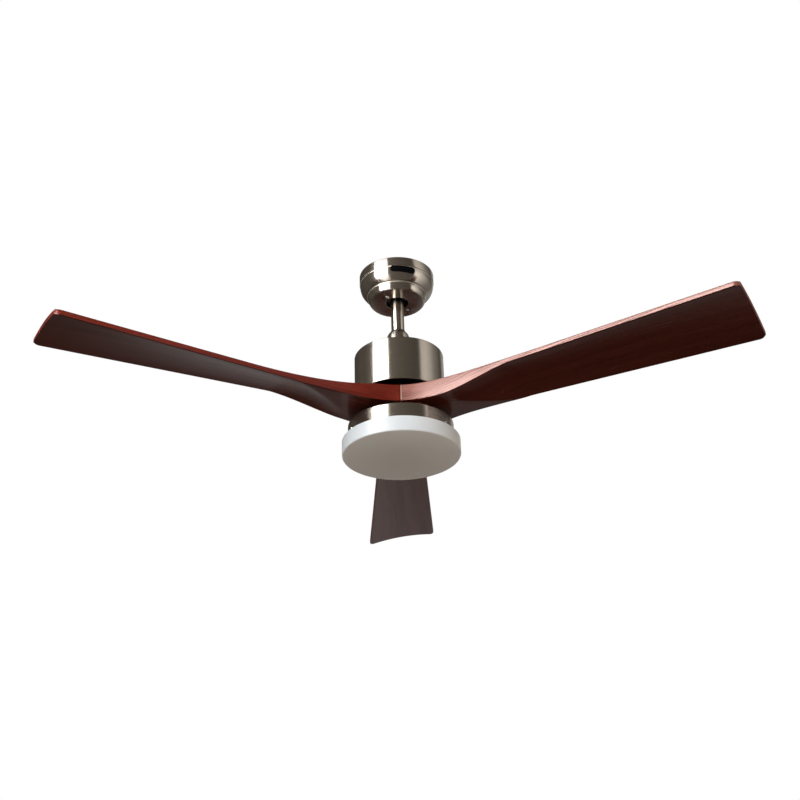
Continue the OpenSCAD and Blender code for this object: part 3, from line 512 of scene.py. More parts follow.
FAN_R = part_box("blade_2")[1].y
PLANK_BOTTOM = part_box("blade_clamp")[1].z
PLANK_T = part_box("blade_carrier")[0].z - PLANK_BOTTOM
SEAM_R = 76.8 * MM
HUB_R = 24 * MM
HALF_W = 52.85 * MM
HALF_W_AT = 300 * MM
TAPER = 0.0646
RISE = 23.5 * MM
CAMBER = 7 * MM
BLADE_T = 10 * MM
CARVE_START = 108 * MM
CARVE_END = 245 * MM
UNDER_BLEND = 0.9 * MM
FALL_END = 320 * MM
FALL_POWER = 2.1
OVER_BLEND = 1.5 * MM
TIP_CORNER = 12 * MM
EDGE_ROUND = 2.0 * MM
SEAM_GAP = 0.4 * MM
SIXTY = math.radians(60)
PART_X = SEAM_R * math.cos(SIXTY)
PART_W = SEAM_R * math.sin(SIXTY)
BLADE_ANGLES = [math.radians(330 + 120 * i) for i in range(3)]


def soft_max(a, b, k):
    """The larger of a and b, rounded over k where they cross."""
    return (a + b + math.sqrt((a - b) ** 2 + k * k)) / 2


def soft_min(a, b, k):
    """The smaller of a and b, rounded over k where they cross."""
    return (a + b - math.sqrt((a - b) ** 2 + k * k)) / 2


def line_w(x):
    """Half width of the blade's straight part."""
    return HALF_W + TAPER * (x - HALF_W_AT)


def half_w(x):
    """Half width of the blade: straight outside, flared so that neighbours meet at the seam."""
    if x < PART_X:
        return x * math.tan(SIXTY)
    flare = PART_W - line_w(PART_X)
    return line_w(x) + flare * math.exp(-(math.tan(SIXTY / 2) + TAPER) / flare * (x - PART_X))


def arch(s):
    """Height of the blade's bent sheet at s across it, from -1 to 1."""
    return RISE * (1 - s) / 2 + CAMBER * (1 - s * s)


def under(x, s):
    """Height of the underside: the plank's flat bottom, carved up to the arch."""
    t = min(1.0, (x - CARVE_START) / (CARVE_END - CARVE_START))
    scoop = RISE * (1 - (t + smooth(max(0.0, t))) / 2)
    return soft_max(0.0, arch(s) - scoop, UNDER_BLEND)


def over(x, s):
    """Height of the top: the plank's flat top, falling to the arch."""
    fall = (PLANK_T - BLADE_T) * (max(0.0, FALL_END - x) / (FALL_END - SEAM_R)) ** FALL_POWER
    return soft_min(PLANK_T, arch(s) + BLADE_T + fall, OVER_BLEND)


def tip_inset(x):
    """How far the tip's corner rounding draws a side in at x."""
    run = x - (FAN_R - TIP_CORNER)
    return 0.0 if run <= 0 else TIP_CORNER - math.sqrt(max(0.0, TIP_CORNER ** 2 - run ** 2))


ACROSS = 40
CORNER = 5
SPANS = 110
SPAN_POWER = 1.35
TIP_STEPS = 8
ROOT_STEPS = 6
ROOT_PARTS = (0, 0.3, 0.7)
CORNER_EASE = 2.6 * MM
EASE_FADE = 3 * CORNER_EASE


def section(x, side, shrink=0.0, bow=0.0):
    """One closed ring of the blade at x, side being its half width there. shrink draws the ring in for the
    rounded tip, and bow curves the root face around the hub."""
    full = half_w(x)
    side -= shrink
    r = min(EDGE_ROUND, side / 3)
    flat = side - r
    turn = [math.radians(90 * i / CORNER) for i in range(CORNER + 1)]
    ring = []

    def height(t, top):
        s = max(-1.0, min(1.0, t / full))
        return over(x, s) - shrink if top else under(x, s) + shrink

    def point(t, z):
        ring.append((x + bow * (1 - (t / full) ** 2), t, z))

    for i in range(ACROSS + 1):
        t = -flat + 2 * flat * i / ACROSS
        point(t, height(t, False))
    for sign in (1, -1):
        z = {top: height(sign * flat, top) for top in (False, True)}
        for top in (sign < 0, sign > 0):
            for a in turn[1:] if top == (sign < 0) else reversed(turn[:-1]):
                lift = r * (1 - math.cos(a))
                point(sign * (flat + r * math.sin(a)), z[top] + (-lift if top else lift))
        if sign == 1:
            for i in range(1, ACROSS + 1):
                t = flat - 2 * flat * i / ACROSS
                point(t, height(t, True))
    return ring[:-1]


def outline():
    """(x, half width) stations from the hub to the rounded tip, with the corner of the root face eased."""
    gap = SEAM_GAP / 2 / math.cos(SIXTY)
    corner = Vector((PART_X, PART_W - gap))
    seam = Vector((math.cos(SIXTY), math.sin(SIXTY)))
    flank = Vector((math.cos(SIXTY / 2), -math.sin(SIXTY / 2)))
    centre = corner + CORNER_EASE * (flank - seam)
    root = HUB_R * math.cos(SIXTY)
    stations = [(x, half_w(x) - gap) for x in [root + part * (PART_X - root) for part in ROOT_PARTS]]
    for i in range(ROOT_STEPS + 1):
        a = math.radians(90 * i / ROOT_STEPS)
        p = centre + CORNER_EASE * (seam * math.sin(a) - flank * math.cos(a))
        stations.append((p.x, p.y))
    start, far, end = stations[-1][0], FAN_R - TIP_CORNER, FAN_R - EDGE_ROUND
    shift = stations[-1][1] - half_w(start)
    for i in range(1, SPANS + 1):
        x = start + (far - start) * (i / SPANS) ** SPAN_POWER
        stations.append((x, half_w(x) + shift * math.exp(-(x - start) / EASE_FADE)))
    for i in range(1, TIP_STEPS + 1):
        x = far + (end - far) * math.sin(math.radians(90 * i / TIP_STEPS))
        stations.append((x, half_w(x) - tip_inset(x)))
    return stations


SIDE_FACE_Z = 0.7
BLADE_SHARP_DEG = 50


def make_blade(number, face, edge):
    """A carved blade, its top and underside in the face material and its sides in the edge material."""
    stations = outline()
    root, end = stations[0][0], FAN_R - EDGE_ROUND
    rings = [section(root, stations[0][1], bow=HUB_R - root)]
    rings += [section(x, side) for x, side in stations[1:]]
    for i in range(1, CORNER + 1):
        a = math.radians(90 * i / CORNER)
        side = half_w(end) - tip_inset(end)
        rings.append(section(end + EDGE_ROUND * math.sin(a), side, shrink=EDGE_ROUND * (1 - math.cos(a))))
    m = len(rings[0])
    verts = [p for ring in rings for p in ring]
    faces = []
    for i in range(len(rings) - 1):
        for j in range(m):
            k = (j + 1) % m
            faces.append((i * m + j, i * m + k, (i + 1) * m + k, (i + 1) * m + j))
    faces.append(tuple(range(m - 1, -1, -1)))
    faces.append(tuple((len(rings) - 1) * m + j for j in range(m)))
    blade = mesh_object(f"blade_{number}_wood", verts, faces, BLADE_SHARP_DEG)
    turn = Matrix.Rotation(BLADE_ANGLES[number - 1], 4, "Z")
    blade.matrix_world = Matrix.Translation((0, 0, PLANK_BOTTOM)) @ turn
    dress(blade, "rotor", [face, edge], "stained_wood", f"blade_{number}")
    for p in blade.data.polygons:
        p.material_index = 1 if abs(p.normal.z) < SIDE_FACE_Z else 0


FACE_DARK = (0.060, 0.0080, 0.0030)
FACE_LIGHT = (0.088, 0.0125, 0.0050)
EDGE_DARK = (0.165, 0.0085, 0.0010)
EDGE_LIGHT = (0.260, 0.0160, 0.0022)
# Painted light: a lit copy of the edge wood, for the first blade's sides.
LIT_EDGE_DARK = (0.240, 0.064, 0.041)
LIT_EDGE_LIGHT = (0.375, 0.118, 0.079)
FACE_LOOKS = dict(climb=0.05, dark=FACE_DARK, light=FACE_LIGHT, rings=0.1, gloss=0.5, rough=0.21, ripple=0.4)
# The first blade's sides are painted lighter and paler than the others', and glossier: painted light for the
# sides that face the softbox at rest.
EDGE_LOOKS = (
    dict(climb=0.45, dark=LIT_EDGE_DARK, light=LIT_EDGE_LIGHT, gloss=0.90, rough=0.37),
    dict(climb=0.12, dark=EDGE_DARK, light=EDGE_LIGHT, gloss=0.7, rough=0.30),
    dict(climb=0.06, dark=EDGE_DARK, light=EDGE_LIGHT, gloss=0.5, rough=0.30),
)
# Each blade is cut from its own place in the wood.
WOOD_STEP = (3.7, 1.9, 0.8)

for index, looks in enumerate(EDGE_LOOKS):
    shift = tuple(step * index for step in WOOD_STEP)
    wood = stained_wood(f"stained_wood_{index + 1}", shift, **FACE_LOOKS)
    sides = stained_wood(f"stained_edge_{index + 1}", shift, rings=1.0, ripple=3.0, **looks)
    make_blade(index + 1, wood, sides)


# ---- Turned metal and the diffuser ----

# Profiles are in millimetres, as (radius, height). These are the segments around the turned pieces.
SHELL_SEGMENTS = 256
COVER_SEGMENTS = 160
ROD_SEGMENTS = 128
SHADE_RING_SEGMENTS = 96
SMALL_SEGMENTS = 48
TURNED_SHARP_DEG = 25
SMALL_SHARP_DEG = 30


def span(node):
    """The bottom, the top and the reach along X of a CAD node, in millimetres."""
    low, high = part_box(node)
    return low.z / MM, high.z / MM, high.x / MM


CANOPY_BOTTOM, CANOPY_TOP, CANOPY_R = span("canopy")
CANOPY_WALL = 1.2
CANOPY_HOLE_R = 22.0
RIM_EDGE = 0.5
BAND_H = 18.5
BAND_EDGE = 0.6
GROOVE_DEPTH = 1.7
GROOVE_TOP = 1.1
GROOVE_FLOOR = (0.9, 0.1)
BEAD_DROP = 1.0
BEAD_R = 1.15
BEAD_SINK = 0.75
BOWL_START = 2.2
BOWL_TRIM = 4.0
BOWL_STEPS = 30
BOWL_POWER = 2.6
RIDGE_H = 14.0
RIDGE_R = 57.5
RIDGE_BEAD_R = 1.3
RIDGE_BEAD_SINK = 0.35
RIDGE_BEAD_LIFT = 0.2
BEAD_REACH_R = 1.2
BEAD_REACH_Z = 1.15
COVE_STEPS = 24
COVE_TRIM = 1.2
FLAT_R = 50.0
CANOPY_SCREW_POS = 30.5
CANOPY_SCREW_ANGLE = 51.0
KEYHOLE_TURN = 12.0
KEYHOLE_R = 3.6
SLOT_HALF = 2.05


def bowl_r(depth):
    """Radius of the canopy's bowl at a depth under its band."""
    bowl_h = CANOPY_TOP - CANOPY_BOTTOM - BAND_H - RIDGE_H
    return CANOPY_R - 1 - (CANOPY_R - 1 - RIDGE_R) * max(0.0, depth / bowl_h) ** BOWL_POWER


def keyhole(side):
    """Cutter for one screw slot with its round entry."""
    screw, hole = [math.radians(CANOPY_SCREW_ANGLE + side - t) for t in (0, KEYHOLE_TURN)]
    a = Vector((math.cos(screw), math.sin(screw))) * CANOPY_SCREW_POS
    b = Vector((math.cos(hole), math.sin(hole))) * CANOPY_SCREW_POS
    turn = math.degrees(math.atan2(a.y - b.y, a.x - b.x))
    neck = math.degrees(math.asin(SLOT_HALF / KEYHOLE_R))
    shape = arc(a.x, a.y, SLOT_HALF, turn - 90, turn + 90, 10)
    shape += arc(b.x, b.y, KEYHOLE_R, turn + neck, turn + 360 - neck, 32)
    return prism("keyhole", scaled(shape), (CANOPY_BOTTOM - 2) * MM, (CANOPY_BOTTOM + 3) * MM)


def make_canopy():
    """A spun bowl under a band, with a groove and two beads, a flat bottom and keyholes for its screws."""
    band = CANOPY_TOP - BAND_H
    ridge = CANOPY_BOTTOM + RIDGE_H
    bead = (bowl_r(BEAD_DROP), band - BEAD_DROP)
    ridge_bead = (RIDGE_R, ridge + RIDGE_BEAD_LIFT)
    foot = RIDGE_R - 1
    outer = arc(CANOPY_R - RIM_EDGE, CANOPY_TOP - RIM_EDGE, RIM_EDGE, 90, 0, 4)
    outer += arc(CANOPY_R - BAND_EDGE, band + GROOVE_TOP + BAND_EDGE, BAND_EDGE, 0, -90, 6)
    outer += [(CANOPY_R - GROOVE_DEPTH, band + z) for z in GROOVE_FLOOR]
    outer += arc(bead[0] - BEAD_SINK, bead[1], BEAD_R, 75, -50, 10)
    depths = [BOWL_START + i * (band - ridge - BOWL_TRIM) / BOWL_STEPS for i in range(BOWL_STEPS + 1)]
    outer += [(bowl_r(d), band - d) for d in depths]
    outer += arc(ridge_bead[0] - RIDGE_BEAD_SINK, ridge_bead[1], RIDGE_BEAD_R, 60, -80, 12)
    for i in range(1, COVE_STEPS + 1):
        a = math.radians(90 * i / COVE_STEPS)
        cove_z = CANOPY_BOTTOM + (RIDGE_H - COVE_TRIM) * (1 - math.sin(a))
        outer.append((FLAT_R + (foot - FLAT_R) * math.cos(a), cove_z))
    outer += arc(CANOPY_HOLE_R + RIM_EDGE, CANOPY_BOTTOM + RIM_EDGE, RIM_EDGE, -90, -180, 4)
    w = CANOPY_WALL
    inner = [(CANOPY_HOLE_R, CANOPY_BOTTOM + w), (FLAT_R, CANOPY_BOTTOM + w)]
    for i in range(1, 11):
        a = math.radians(90 - 9 * i)
        cove_z = CANOPY_BOTTOM + w + (RIDGE_H - w) * (1 - math.sin(a))
        inner.append((FLAT_R + (foot - FLAT_R - w) * math.cos(a), cove_z))
    heights = [(band - ridge) * i / 12 for i in range(13)]
    inner += [(bowl_r(band - ridge - h) - w, ridge + h) for h in heights]
    inner += [(CANOPY_R - w, band + 0.8), (CANOPY_R - w, CANOPY_TOP)]
    shell = lathe("canopy_shell", scaled(outer + inner), SHELL_SEGMENTS, TURNED_SHARP_DEG)
    bored(shell, [keyhole(side) for side in (0, 180)])
    dress(shell, "ceiling_mount", [nickel, bead_highlight_nickel], "brushed_nickel", "canopy")
    # Faces near the two beads take the brighter nickel: painted highlight lines.
    for p in shell.data.polygons:
        r, z = math.hypot(p.center.x, p.center.y) / MM, p.center.z / MM
        for at_r, at_z in (bead, ridge_bead):
            if abs(r - at_r) < BEAD_REACH_R and abs(z - at_z) < BEAD_REACH_Z:
                p.material_index = 1


CROSS_ARM = 0.42
CROSS_REACH = 2.1
CROSS_DEPTH = 1.1
SHANK_R = 1.9
DOME_STEP = 6
SCREW_TWIST = 0.5


def make_canopy_screws():
    """Domed cross-head screws up through the canopy's slots."""
    tip, top, reach = span("canopy_screws")
    head_r = reach - CANOPY_SCREW_POS * math.cos(math.radians(CANOPY_SCREW_ANGLE))
    seat, arm, far = CANOPY_BOTTOM, CROSS_ARM, CROSS_REACH
    cross = [(arm, arm), (arm, far), (-arm, far), (-arm, arm), (-far, arm), (-far, -arm), (-arm, -arm),
             (-arm, -far), (arm, -far), (arm, -arm), (far, -arm), (far, arm)]
    screws = []
    for side in (0, 180):
        profile = [(0, tip)]
        for a in [math.radians(DOME_STEP * i) for i in range(1, 15)]:
            profile.append((head_r * math.sin(a), seat - (seat - tip) * math.cos(a)))
        profile += [(head_r, seat - 0.15), (head_r - 0.1, seat - 0.02), (SHANK_R, seat - 0.02)]
        profile += [(SHANK_R, top - 0.4), (SHANK_R - 0.4, top), (0, top)]
        screw = lathe("canopy_screw", scaled(profile), SMALL_SEGMENTS, SMALL_SHARP_DEG)
        bored(screw, [prism("cross", scaled(cross), (tip - 1) * MM, (tip + CROSS_DEPTH) * MM)])
        angle = math.radians(CANOPY_SCREW_ANGLE + side)
        at = Vector((math.cos(angle), math.sin(angle), 0)) * CANOPY_SCREW_POS * MM
        screw.matrix_basis = Matrix.Translation(at) @ Matrix.Rotation(angle + SCREW_TWIST, 4, "Z")
        screws.append(screw)
    dress(joined("canopy_screw_heads", screws), "ceiling_mount", [screw_plate], "zinc_steel", "canopy_screws")


BADGE_L = 49.5
BADGE_H = 12.4
BADGE_DROP = 1.4
BADGE_TURN = math.radians(270 + 9.8)
BADGE_TILT = math.tan(math.radians(3))
BADGE_ENDS, BADGE_STRAIGHT, BADGE_ROWS = 14, 24, 4
BADGE_SHARP_DEG = 40
# How far in from the oval's edge and how far off the bowl each ring of the badge lies.
BADGE_RINGS = [(0.0, 0.32), (0.0, 0.95), (0.1, 1.1), (0.28, 1.18), (0.7, 1.18), (0.85, 1.1), (0.98, 0.95),
               (1.1, 0.92)]


def badge_border(inset):
    """Points (u, v) along the top of the oval from +u to -u; the bottom mirrors them."""
    half, r = (BADGE_L - BADGE_H) / 2, BADGE_H / 2 - inset
    right = arc(half, 0, r, 0, 90, BADGE_ENDS)[:-1]
    flat = [(half - 2 * half * i / BADGE_STRAIGHT, r) for i in range(BADGE_STRAIGHT + 1)]
    return right + flat + [(-u, v) for u, v in right[::-1]]


def on_bowl(u, v, lift):
    """The badge's point at u along and v up it, laid on the canopy's bowl and lifted off it, in metres."""
    mid = BAND_H + BADGE_H / 2 + BADGE_DROP
    u, v = u + BADGE_TILT * v, v - BADGE_TILT * u
    r = (bowl_r(mid - BAND_H - v) + lift) * MM
    a = BADGE_TURN + u / (CANOPY_R - 1)
    return (r * math.cos(a), r * math.sin(a), (CANOPY_TOP - mid + v) * MM)


def make_badge():
    """A blank oval badge under the canopy's band: a dark lacquered field inside a slightly proud rim."""
    verts, faces = [], []
    for inset, lift in BADGE_RINGS:
        border = badge_border(inset)
        verts += [on_bowl(u, v, lift) for u, v in border + [(u, -v) for u, v in border[-2:0:-1]]]
    border, lift = badge_border(BADGE_RINGS[-1][0]), BADGE_RINGS[-1][1]
    n = len(border)
    count = 2 * n - 2
    base = len(verts) - count
    for first in range(0, base, count):
        for k in range(count):
            m = (k + 1) % count
            faces.append((first + k, first + m, first + count + m, first + count + k))
    columns = []
    for i, (u, v) in enumerate(border):
        column = [base + i]
        if i not in (0, n - 1):
            for j in range(1, BADGE_ROWS):
                column.append(len(verts))
                verts.append(on_bowl(u, v * (1 - 2 * j / BADGE_ROWS), lift))
            column.append(base + (count - i) % count)
        columns.append(column)
    for a, b in zip(columns, columns[1:]):
        for j in range(BADGE_ROWS):
            p, q = a[min(j, len(a) - 1)], a[min(j + 1, len(a) - 1)]
            t, w = b[min(j, len(b) - 1)], b[min(j + 1, len(b) - 1)]
            face = list(dict.fromkeys([p, t, w, q]))
            if len(face) > 2:
                faces.append(face)
    faces.append(tuple(range(count - 1, -1, -1)))
    badge = mesh_object("badge_blank", verts, faces, BADGE_SHARP_DEG)
    dress(badge, "ceiling_mount", [badge_black], "black_plastic", "canopy_badge")


ROD_BOTTOM, ROD_TOP, ROD_R = span("downrod")
ROD_WALL = 2
ROD_EDGE = 0.6
PIN_HOLE_HALF = 0.03
PIN_PLAY = 0.0001


def make_downrod():
    """A tube with cross holes for its two pins."""
    profile = arc(ROD_R - ROD_EDGE, ROD_TOP - ROD_EDGE, ROD_EDGE, 90, 0, 4)
    profile += arc(ROD_R - ROD_EDGE, ROD_BOTTOM + ROD_EDGE, ROD_EDGE, 0, -90, 4)
    profile += [(ROD_R - ROD_WALL, ROD_BOTTOM), (ROD_R - ROD_WALL, ROD_TOP)]
    tube = lathe("downrod_tube", scaled(profile), ROD_SEGMENTS, TURNED_SHARP_DEG)
    pins = []
    for node in ("ball_pin", "yoke_pin"):
        low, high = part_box(node)
        z, r = (low.z + high.z) / 2, (high.z - low.z) / 2 + PIN_PLAY
        pin = prism("pin_hole", circle(r, 32), -PIN_HOLE_HALF, PIN_HOLE_HALF)
        pin.data.transform(Matrix.Translation((0, 0, z)) @ Matrix.Rotation(math.pi / 2, 4, "Y"))
        pins.append(pin)
    bored(tube, pins)
    dress(tube, "drop_unit", [nickel], "brushed_nickel", "downrod")


COVER_BOTTOM, COVER_TOP, COVER_FOOT_R = span("yoke_cover")
COVER_MOUTH = ROD_R + 0.3
COVER_WALL = 1.0
COVER_LIP = 0.45
COVER_SHOULDER = 0.68
SHOULDER_FADE = 5
BELL_START = 0.6
BELL_POWER = 1.6
BELL_STEPS = 40
SHADE_RING_R = 0.7


def make_yoke_cover():
    """A bell over the yoke, with a rolled lip, and a black rubber ring around the rod at its mouth that
    paints the shade of the gap between rod and cover.
    """
    height = COVER_TOP - COVER_BOTTOM
    shoulder = (COVER_FOOT_R - COVER_MOUTH) * COVER_SHOULDER
    outer = [(COVER_MOUTH, COVER_TOP - 2 * COVER_LIP)]
    outer += arc(COVER_MOUTH + COVER_LIP, COVER_TOP - COVER_LIP, COVER_LIP, 180, 30, 7)
    bell = []
    for i in range(BELL_STEPS + 1):
        d = BELL_START + (height - BELL_START) * (i / BELL_STEPS) ** BELL_POWER
        flare = shoulder * (1 - math.exp(-d / SHOULDER_FADE))
        cone = (COVER_FOOT_R - COVER_MOUTH - shoulder) * d / height
        bell.append((COVER_MOUTH + flare + cone, COVER_TOP - d))
    outer += [p for p in bell if p[0] > COVER_MOUTH + 2 * COVER_LIP]
    inner = [(r - COVER_WALL, z) for r, z in bell[::-1] if r - COVER_WALL > COVER_MOUTH + 0.05]
    cover = lathe("yoke_cover_bell", scaled(outer + inner), COVER_SEGMENTS, SMALL_SHARP_DEG)
    dress(cover, "drop_unit", [nickel], "brushed_nickel", "yoke_cover")
    # A black ring around the rod, standing at the cover's mouth: painted shade of the gap between rod and
    # cover.
    inside = ROD_R + 0.05
    ring = [(inside, COVER_TOP - 2.0)] + arc(ROD_R + 1.15, COVER_TOP + SHADE_RING_R, SHADE_RING_R, -60, 90, 8)
    ring += [(inside, COVER_TOP + 2 * SHADE_RING_R)]
    shade_ring = lathe("yoke_cover_shade_ring", scaled(ring), SHADE_RING_SEGMENTS, SMALL_SHARP_DEG)
    dress(shade_ring, "drop_unit", [rubber], "black_rubber")


HOUSING_BOTTOM, HOUSING_TOP = span("motor_housing")[:2]
HOUSING_R = 84.6
HOUSING_WALL = 1.5
HOUSING_EDGE = 2.0
HOUSING_HOLE_R = 8.8
HEM_R = 0.85
HOUSING_SCREW_POS = 19
HOUSING_SCREW_R = 2.05


def make_housing():
    """A drum closed at the top, with a rolled hem and four screw holes around the shaft."""
    top, bottom, r = HOUSING_TOP, HOUSING_BOTTOM, HOUSING_R
    wall, edge = HOUSING_WALL, HOUSING_EDGE
    outer = [(HOUSING_HOLE_R, top)] + arc(r - edge, top - edge, edge, 90, 0, 10)
    outer += [(r, bottom + 60), (r, bottom + 30), (r, bottom + 2.0), (r - 0.15, bottom + 1.75)]
    outer += arc(r - 0.35, bottom + HEM_R, HEM_R, 60, -90, 9) + [(r - wall, bottom)]
    inner = [(r - wall, bottom + 2)] + arc(r - edge, top - edge, edge - wall + 0.1, 0, 90, 4)
    inner += [(HOUSING_HOLE_R, top - wall)]
    shell = lathe("motor_housing_shell", scaled(outer + inner), SHELL_SEGMENTS, TURNED_SHARP_DEG)
    holes = []
    for a in [math.radians(45 + 90 * k) for k in range(4)]:
        hole = circle(HOUSING_SCREW_R, 20, HOUSING_SCREW_POS * math.cos(a), HOUSING_SCREW_POS * math.sin(a))
        holes.append(prism("screw_hole", scaled(hole), (top - 4) * MM, (top + 2) * MM))
    bored(shell, holes)
    dress(shell, "drop_unit", [nickel], "brushed_nickel", "motor_housing")


PAN_BOTTOM, PAN_TOP, PAN_R = span("kit_pan")
PAN_WALL = 1.2
PAN_EDGE = 2.5
PAN_HOLE_R = 10.5
PAN_HEM_R = 0.6
STUD_ANGLES = [270 + 54.5 + 120 * k for k in range(3)]
STUD_Z = PAN_BOTTOM + 11.0
STUD_R = 2.0
STUD_HOLE_R = STUD_R + 0.05
STUD_COLLAR_R = STUD_R * 1.5
STUD_BACK = -5.6


def at_stud(angle, r):
    """Matrix that stands a piece at radius r in a stud's place, with its Z axis outwards."""
    place = Matrix.Rotation(math.radians(angle), 4, "Z") @ Matrix.Translation((r * MM, 0, STUD_Z * MM))
    return place @ Matrix.Rotation(math.pi / 2, 4, "Y")


def make_pan():
    """A shallow pan closed at the top, with a rolled hem and holes for its studs."""
    edge, inside = PAN_EDGE, PAN_R - PAN_WALL
    outer = [(PAN_HOLE_R, PAN_TOP), (60, PAN_TOP)] + arc(PAN_R - edge, PAN_TOP - edge, edge, 90, 0, 10)
    outer += [(PAN_R, PAN_BOTTOM + 20), (PAN_R, PAN_BOTTOM + 1.5)]
    outer += arc(PAN_R - PAN_HEM_R, PAN_BOTTOM + PAN_HEM_R, PAN_HEM_R, 0, -180, 10)
    inner = [(inside, PAN_BOTTOM + 2)] + arc(PAN_R - edge, PAN_TOP - edge, edge - PAN_WALL, 0, 90, 6)
    inner += [(PAN_HOLE_R, PAN_TOP - PAN_WALL)]
    pan = lathe("light_pan", scaled(outer + inner), SHELL_SEGMENTS, TURNED_SHARP_DEG)
    cutters = []
    for angle in STUD_ANGLES:
        cutter = prism("stud_hole", scaled(circle(STUD_HOLE_R, 24)), -4 * MM, 4 * MM)
        cutter.data.transform(at_stud(angle, PAN_R - PAN_WALL / 2))
        cutters.append(cutter)
    bored(pan, cutters)
    dress(pan, "drop_unit", [soft_nickel], "brushed_nickel", "kit_pan")


def make_studs():
    """Domed bayonet studs with a small collar against the pan."""
    head = [(0, STUD_BACK), (STUD_R - 0.3, STUD_BACK), (STUD_R, STUD_BACK + 0.3), (STUD_R, 0.05)]
    head += [(STUD_COLLAR_R, 0.05), (STUD_COLLAR_R, 0.5)]
    head += arc(0, -0.55, STUD_COLLAR_R + 0.15, 20, 90, 8)[:-1] + [(0, 2.6)]
    studs = []
    for angle in STUD_ANGLES:
        stud = lathe("stud", scaled(head), SMALL_SEGMENTS, SMALL_SHARP_DEG)
        stud.matrix_basis = at_stud(angle, PAN_R)
        studs.append(stud)
    dress(joined("stud_heads", studs), "drop_unit", [screw_plate], "zinc_steel", "bayonet_studs")


DIFFUSER_BOTTOM, DIFFUSER_TOP, DIFFUSER_R = span("diffuser")
DIFFUSER_WALL = 2.2
DIFFUSER_EDGE = 2.8
SHOULDER_EDGE = 1.2
COLLAR_R = PAN_R - 1.5
COLLAR_EDGE = 0.5
SHOULDER_GAP = 0.3
TWIST = 18
SLOT_R = STUD_R + 0.3
SLOT_SPAN = (90, 110)


def bayonet_slot(start, end, z0, z1):
    """Cutter through the collar, from one angle to another in degrees."""
    wedge = arc(0, 0, SLOT_SPAN[1], start, end, 6) + arc(0, 0, SLOT_SPAN[0], end, start, 6)
    return prism("slot", scaled(wedge), z0 * MM, z1 * MM)


def make_diffuser():
    """An opal drum whose narrower collar slips into the pan, with bayonet slots for the studs."""
    bottom, top, r = DIFFUSER_BOTTOM, DIFFUSER_TOP, DIFFUSER_R
    wall, edge, collar, lip = DIFFUSER_WALL, DIFFUSER_EDGE, COLLAR_R, COLLAR_EDGE
    shoulder = PAN_BOTTOM - SHOULDER_GAP
    outer = [(0, bottom), (40, bottom), (80, bottom)] + arc(r - edge, bottom + edge, edge, -90, 0, 12)
    outer += arc(r - SHOULDER_EDGE, shoulder - SHOULDER_EDGE, SHOULDER_EDGE, 0, 90, 6)
    outer += [(collar + 0.4, shoulder), (collar, shoulder + 0.4)]
    outer += arc(collar - lip, top - lip, lip, 0, 90, 4)
    inner = arc(collar - wall + lip, top - lip, lip, 90, 180, 4)
    inner += [(collar - wall, shoulder - wall), (r - wall, shoulder - wall)]
    inner += arc(r - edge, bottom + edge, edge - wall, 0, -90, 6) + [(0, bottom + wall)]
    drum = lathe("diffuser_drum", scaled(outer + inner), SHELL_SEGMENTS, TURNED_SHARP_DEG)
    margin = math.degrees(math.asin(SLOT_R / collar))
    cutters = []
    for angle in STUD_ANGLES:
        start = angle - TWIST - margin
        cutters.append(bayonet_slot(start, angle + margin, STUD_Z - SLOT_R, STUD_Z + SLOT_R))
        cutters.append(bayonet_slot(start, angle - TWIST + margin, STUD_Z - SLOT_R, top + 1))
    bored(drum, cutters)
    dress(drum, "light_cover", [diffuser_opal], "opal_plastic", "diffuser")


make_canopy()
make_badge()
make_canopy_screws()
make_downrod()
make_yoke_cover()
make_housing()
make_pan()
make_studs()
make_diffuser()


# ---- Studio ----

FAN_MID = Vector((0, 0, -0.25))
DOME_R = 40.0
WARM = Vector((1.0, 0.88, 0.75))
CREAM = Vector((1.0, 0.93, 0.85))
NEUTRAL = Vector((1.0, 0.98, 0.95))

# Brightness along the azimuth or the elevation, in degrees. The other values are (edge, softness) or
# (start, end, softness).
ROOM_AZ = [(0, 0.20), (30, 0.12), (45, 0.08), (95, 0.05), (125, 0.075), (140, 0.09), (160, 0.115),
           (172, 0.105), (195, 0.17), (246, 0.19), (270, 0.14), (318, 0.085), (360, 0.2)]
ROOM_HIGH_EL = [(55, 1.0), (75, 0.6)]
BELOW_AZ = [(0, 0.10), (40, 0.05), (90, 0.035), (180, 0.05), (230, 0.16), (310, 0.12), (360, 0.10)]
BELOW_EDGE = (-34, 12)
SOFTBOX_AZ = [(206, 1.42), (214, 1.42), (229, 0.8), (242, 0.74)]
SOFTBOX_EL = [(-64, 0.6), (-55, 1.4), (-45, 2.2), (-25, 3.8), (-10, 9.0), (5, 12.0), (15, 10.0)]
SOFTBOX_SIDES, SOFTBOX_ENDS = (203.5, 242.2, 2), (-66, 34.5, 5)
PANEL_LOW_AZ = [(326, 1.35), (340, 1.15), (352, 0.74), (366, 0.47), (382, 0.24), (414, 0.15)]
PANEL_HIGH_AZ = [(326, 0.62), (335, 0.66), (342, 0.70), (349, 0.60), (356, 0.55), (364, 0.38), (372, 0.25),
                 (385, 0.18), (391, 0.15), (398, 0.06), (406, 0.06), (412, 0.35), (420, 0.5), (430, 0.5)]
PANEL_HIGH_EDGE = (18, 5)
PANEL_SIDES, PANEL_ENDS = (326, 432, 1.5), (-50, 50, 5)
REAR_START, REAR_END, REAR_TOP = (48, 7), (106.5, 5), (14, 4)
REAR_EL = [(-34.5, 0.0), (-32.5, 0.4), (-27, 0.4), (-22, 1.0)]
REAR_GLOW = 0.34


def crossing(x, edge, soft):
    """0 below the edge, 1 above it, with a soft crossing."""
    return smooth(max(0.0, min(1.0, (x - edge) / (2 * soft) + 0.5)))


def between(x, low, high, soft):
    """1 between low and high, with a soft crossing at both."""
    return crossing(x, low, soft) * (1 - crossing(x, high, soft))


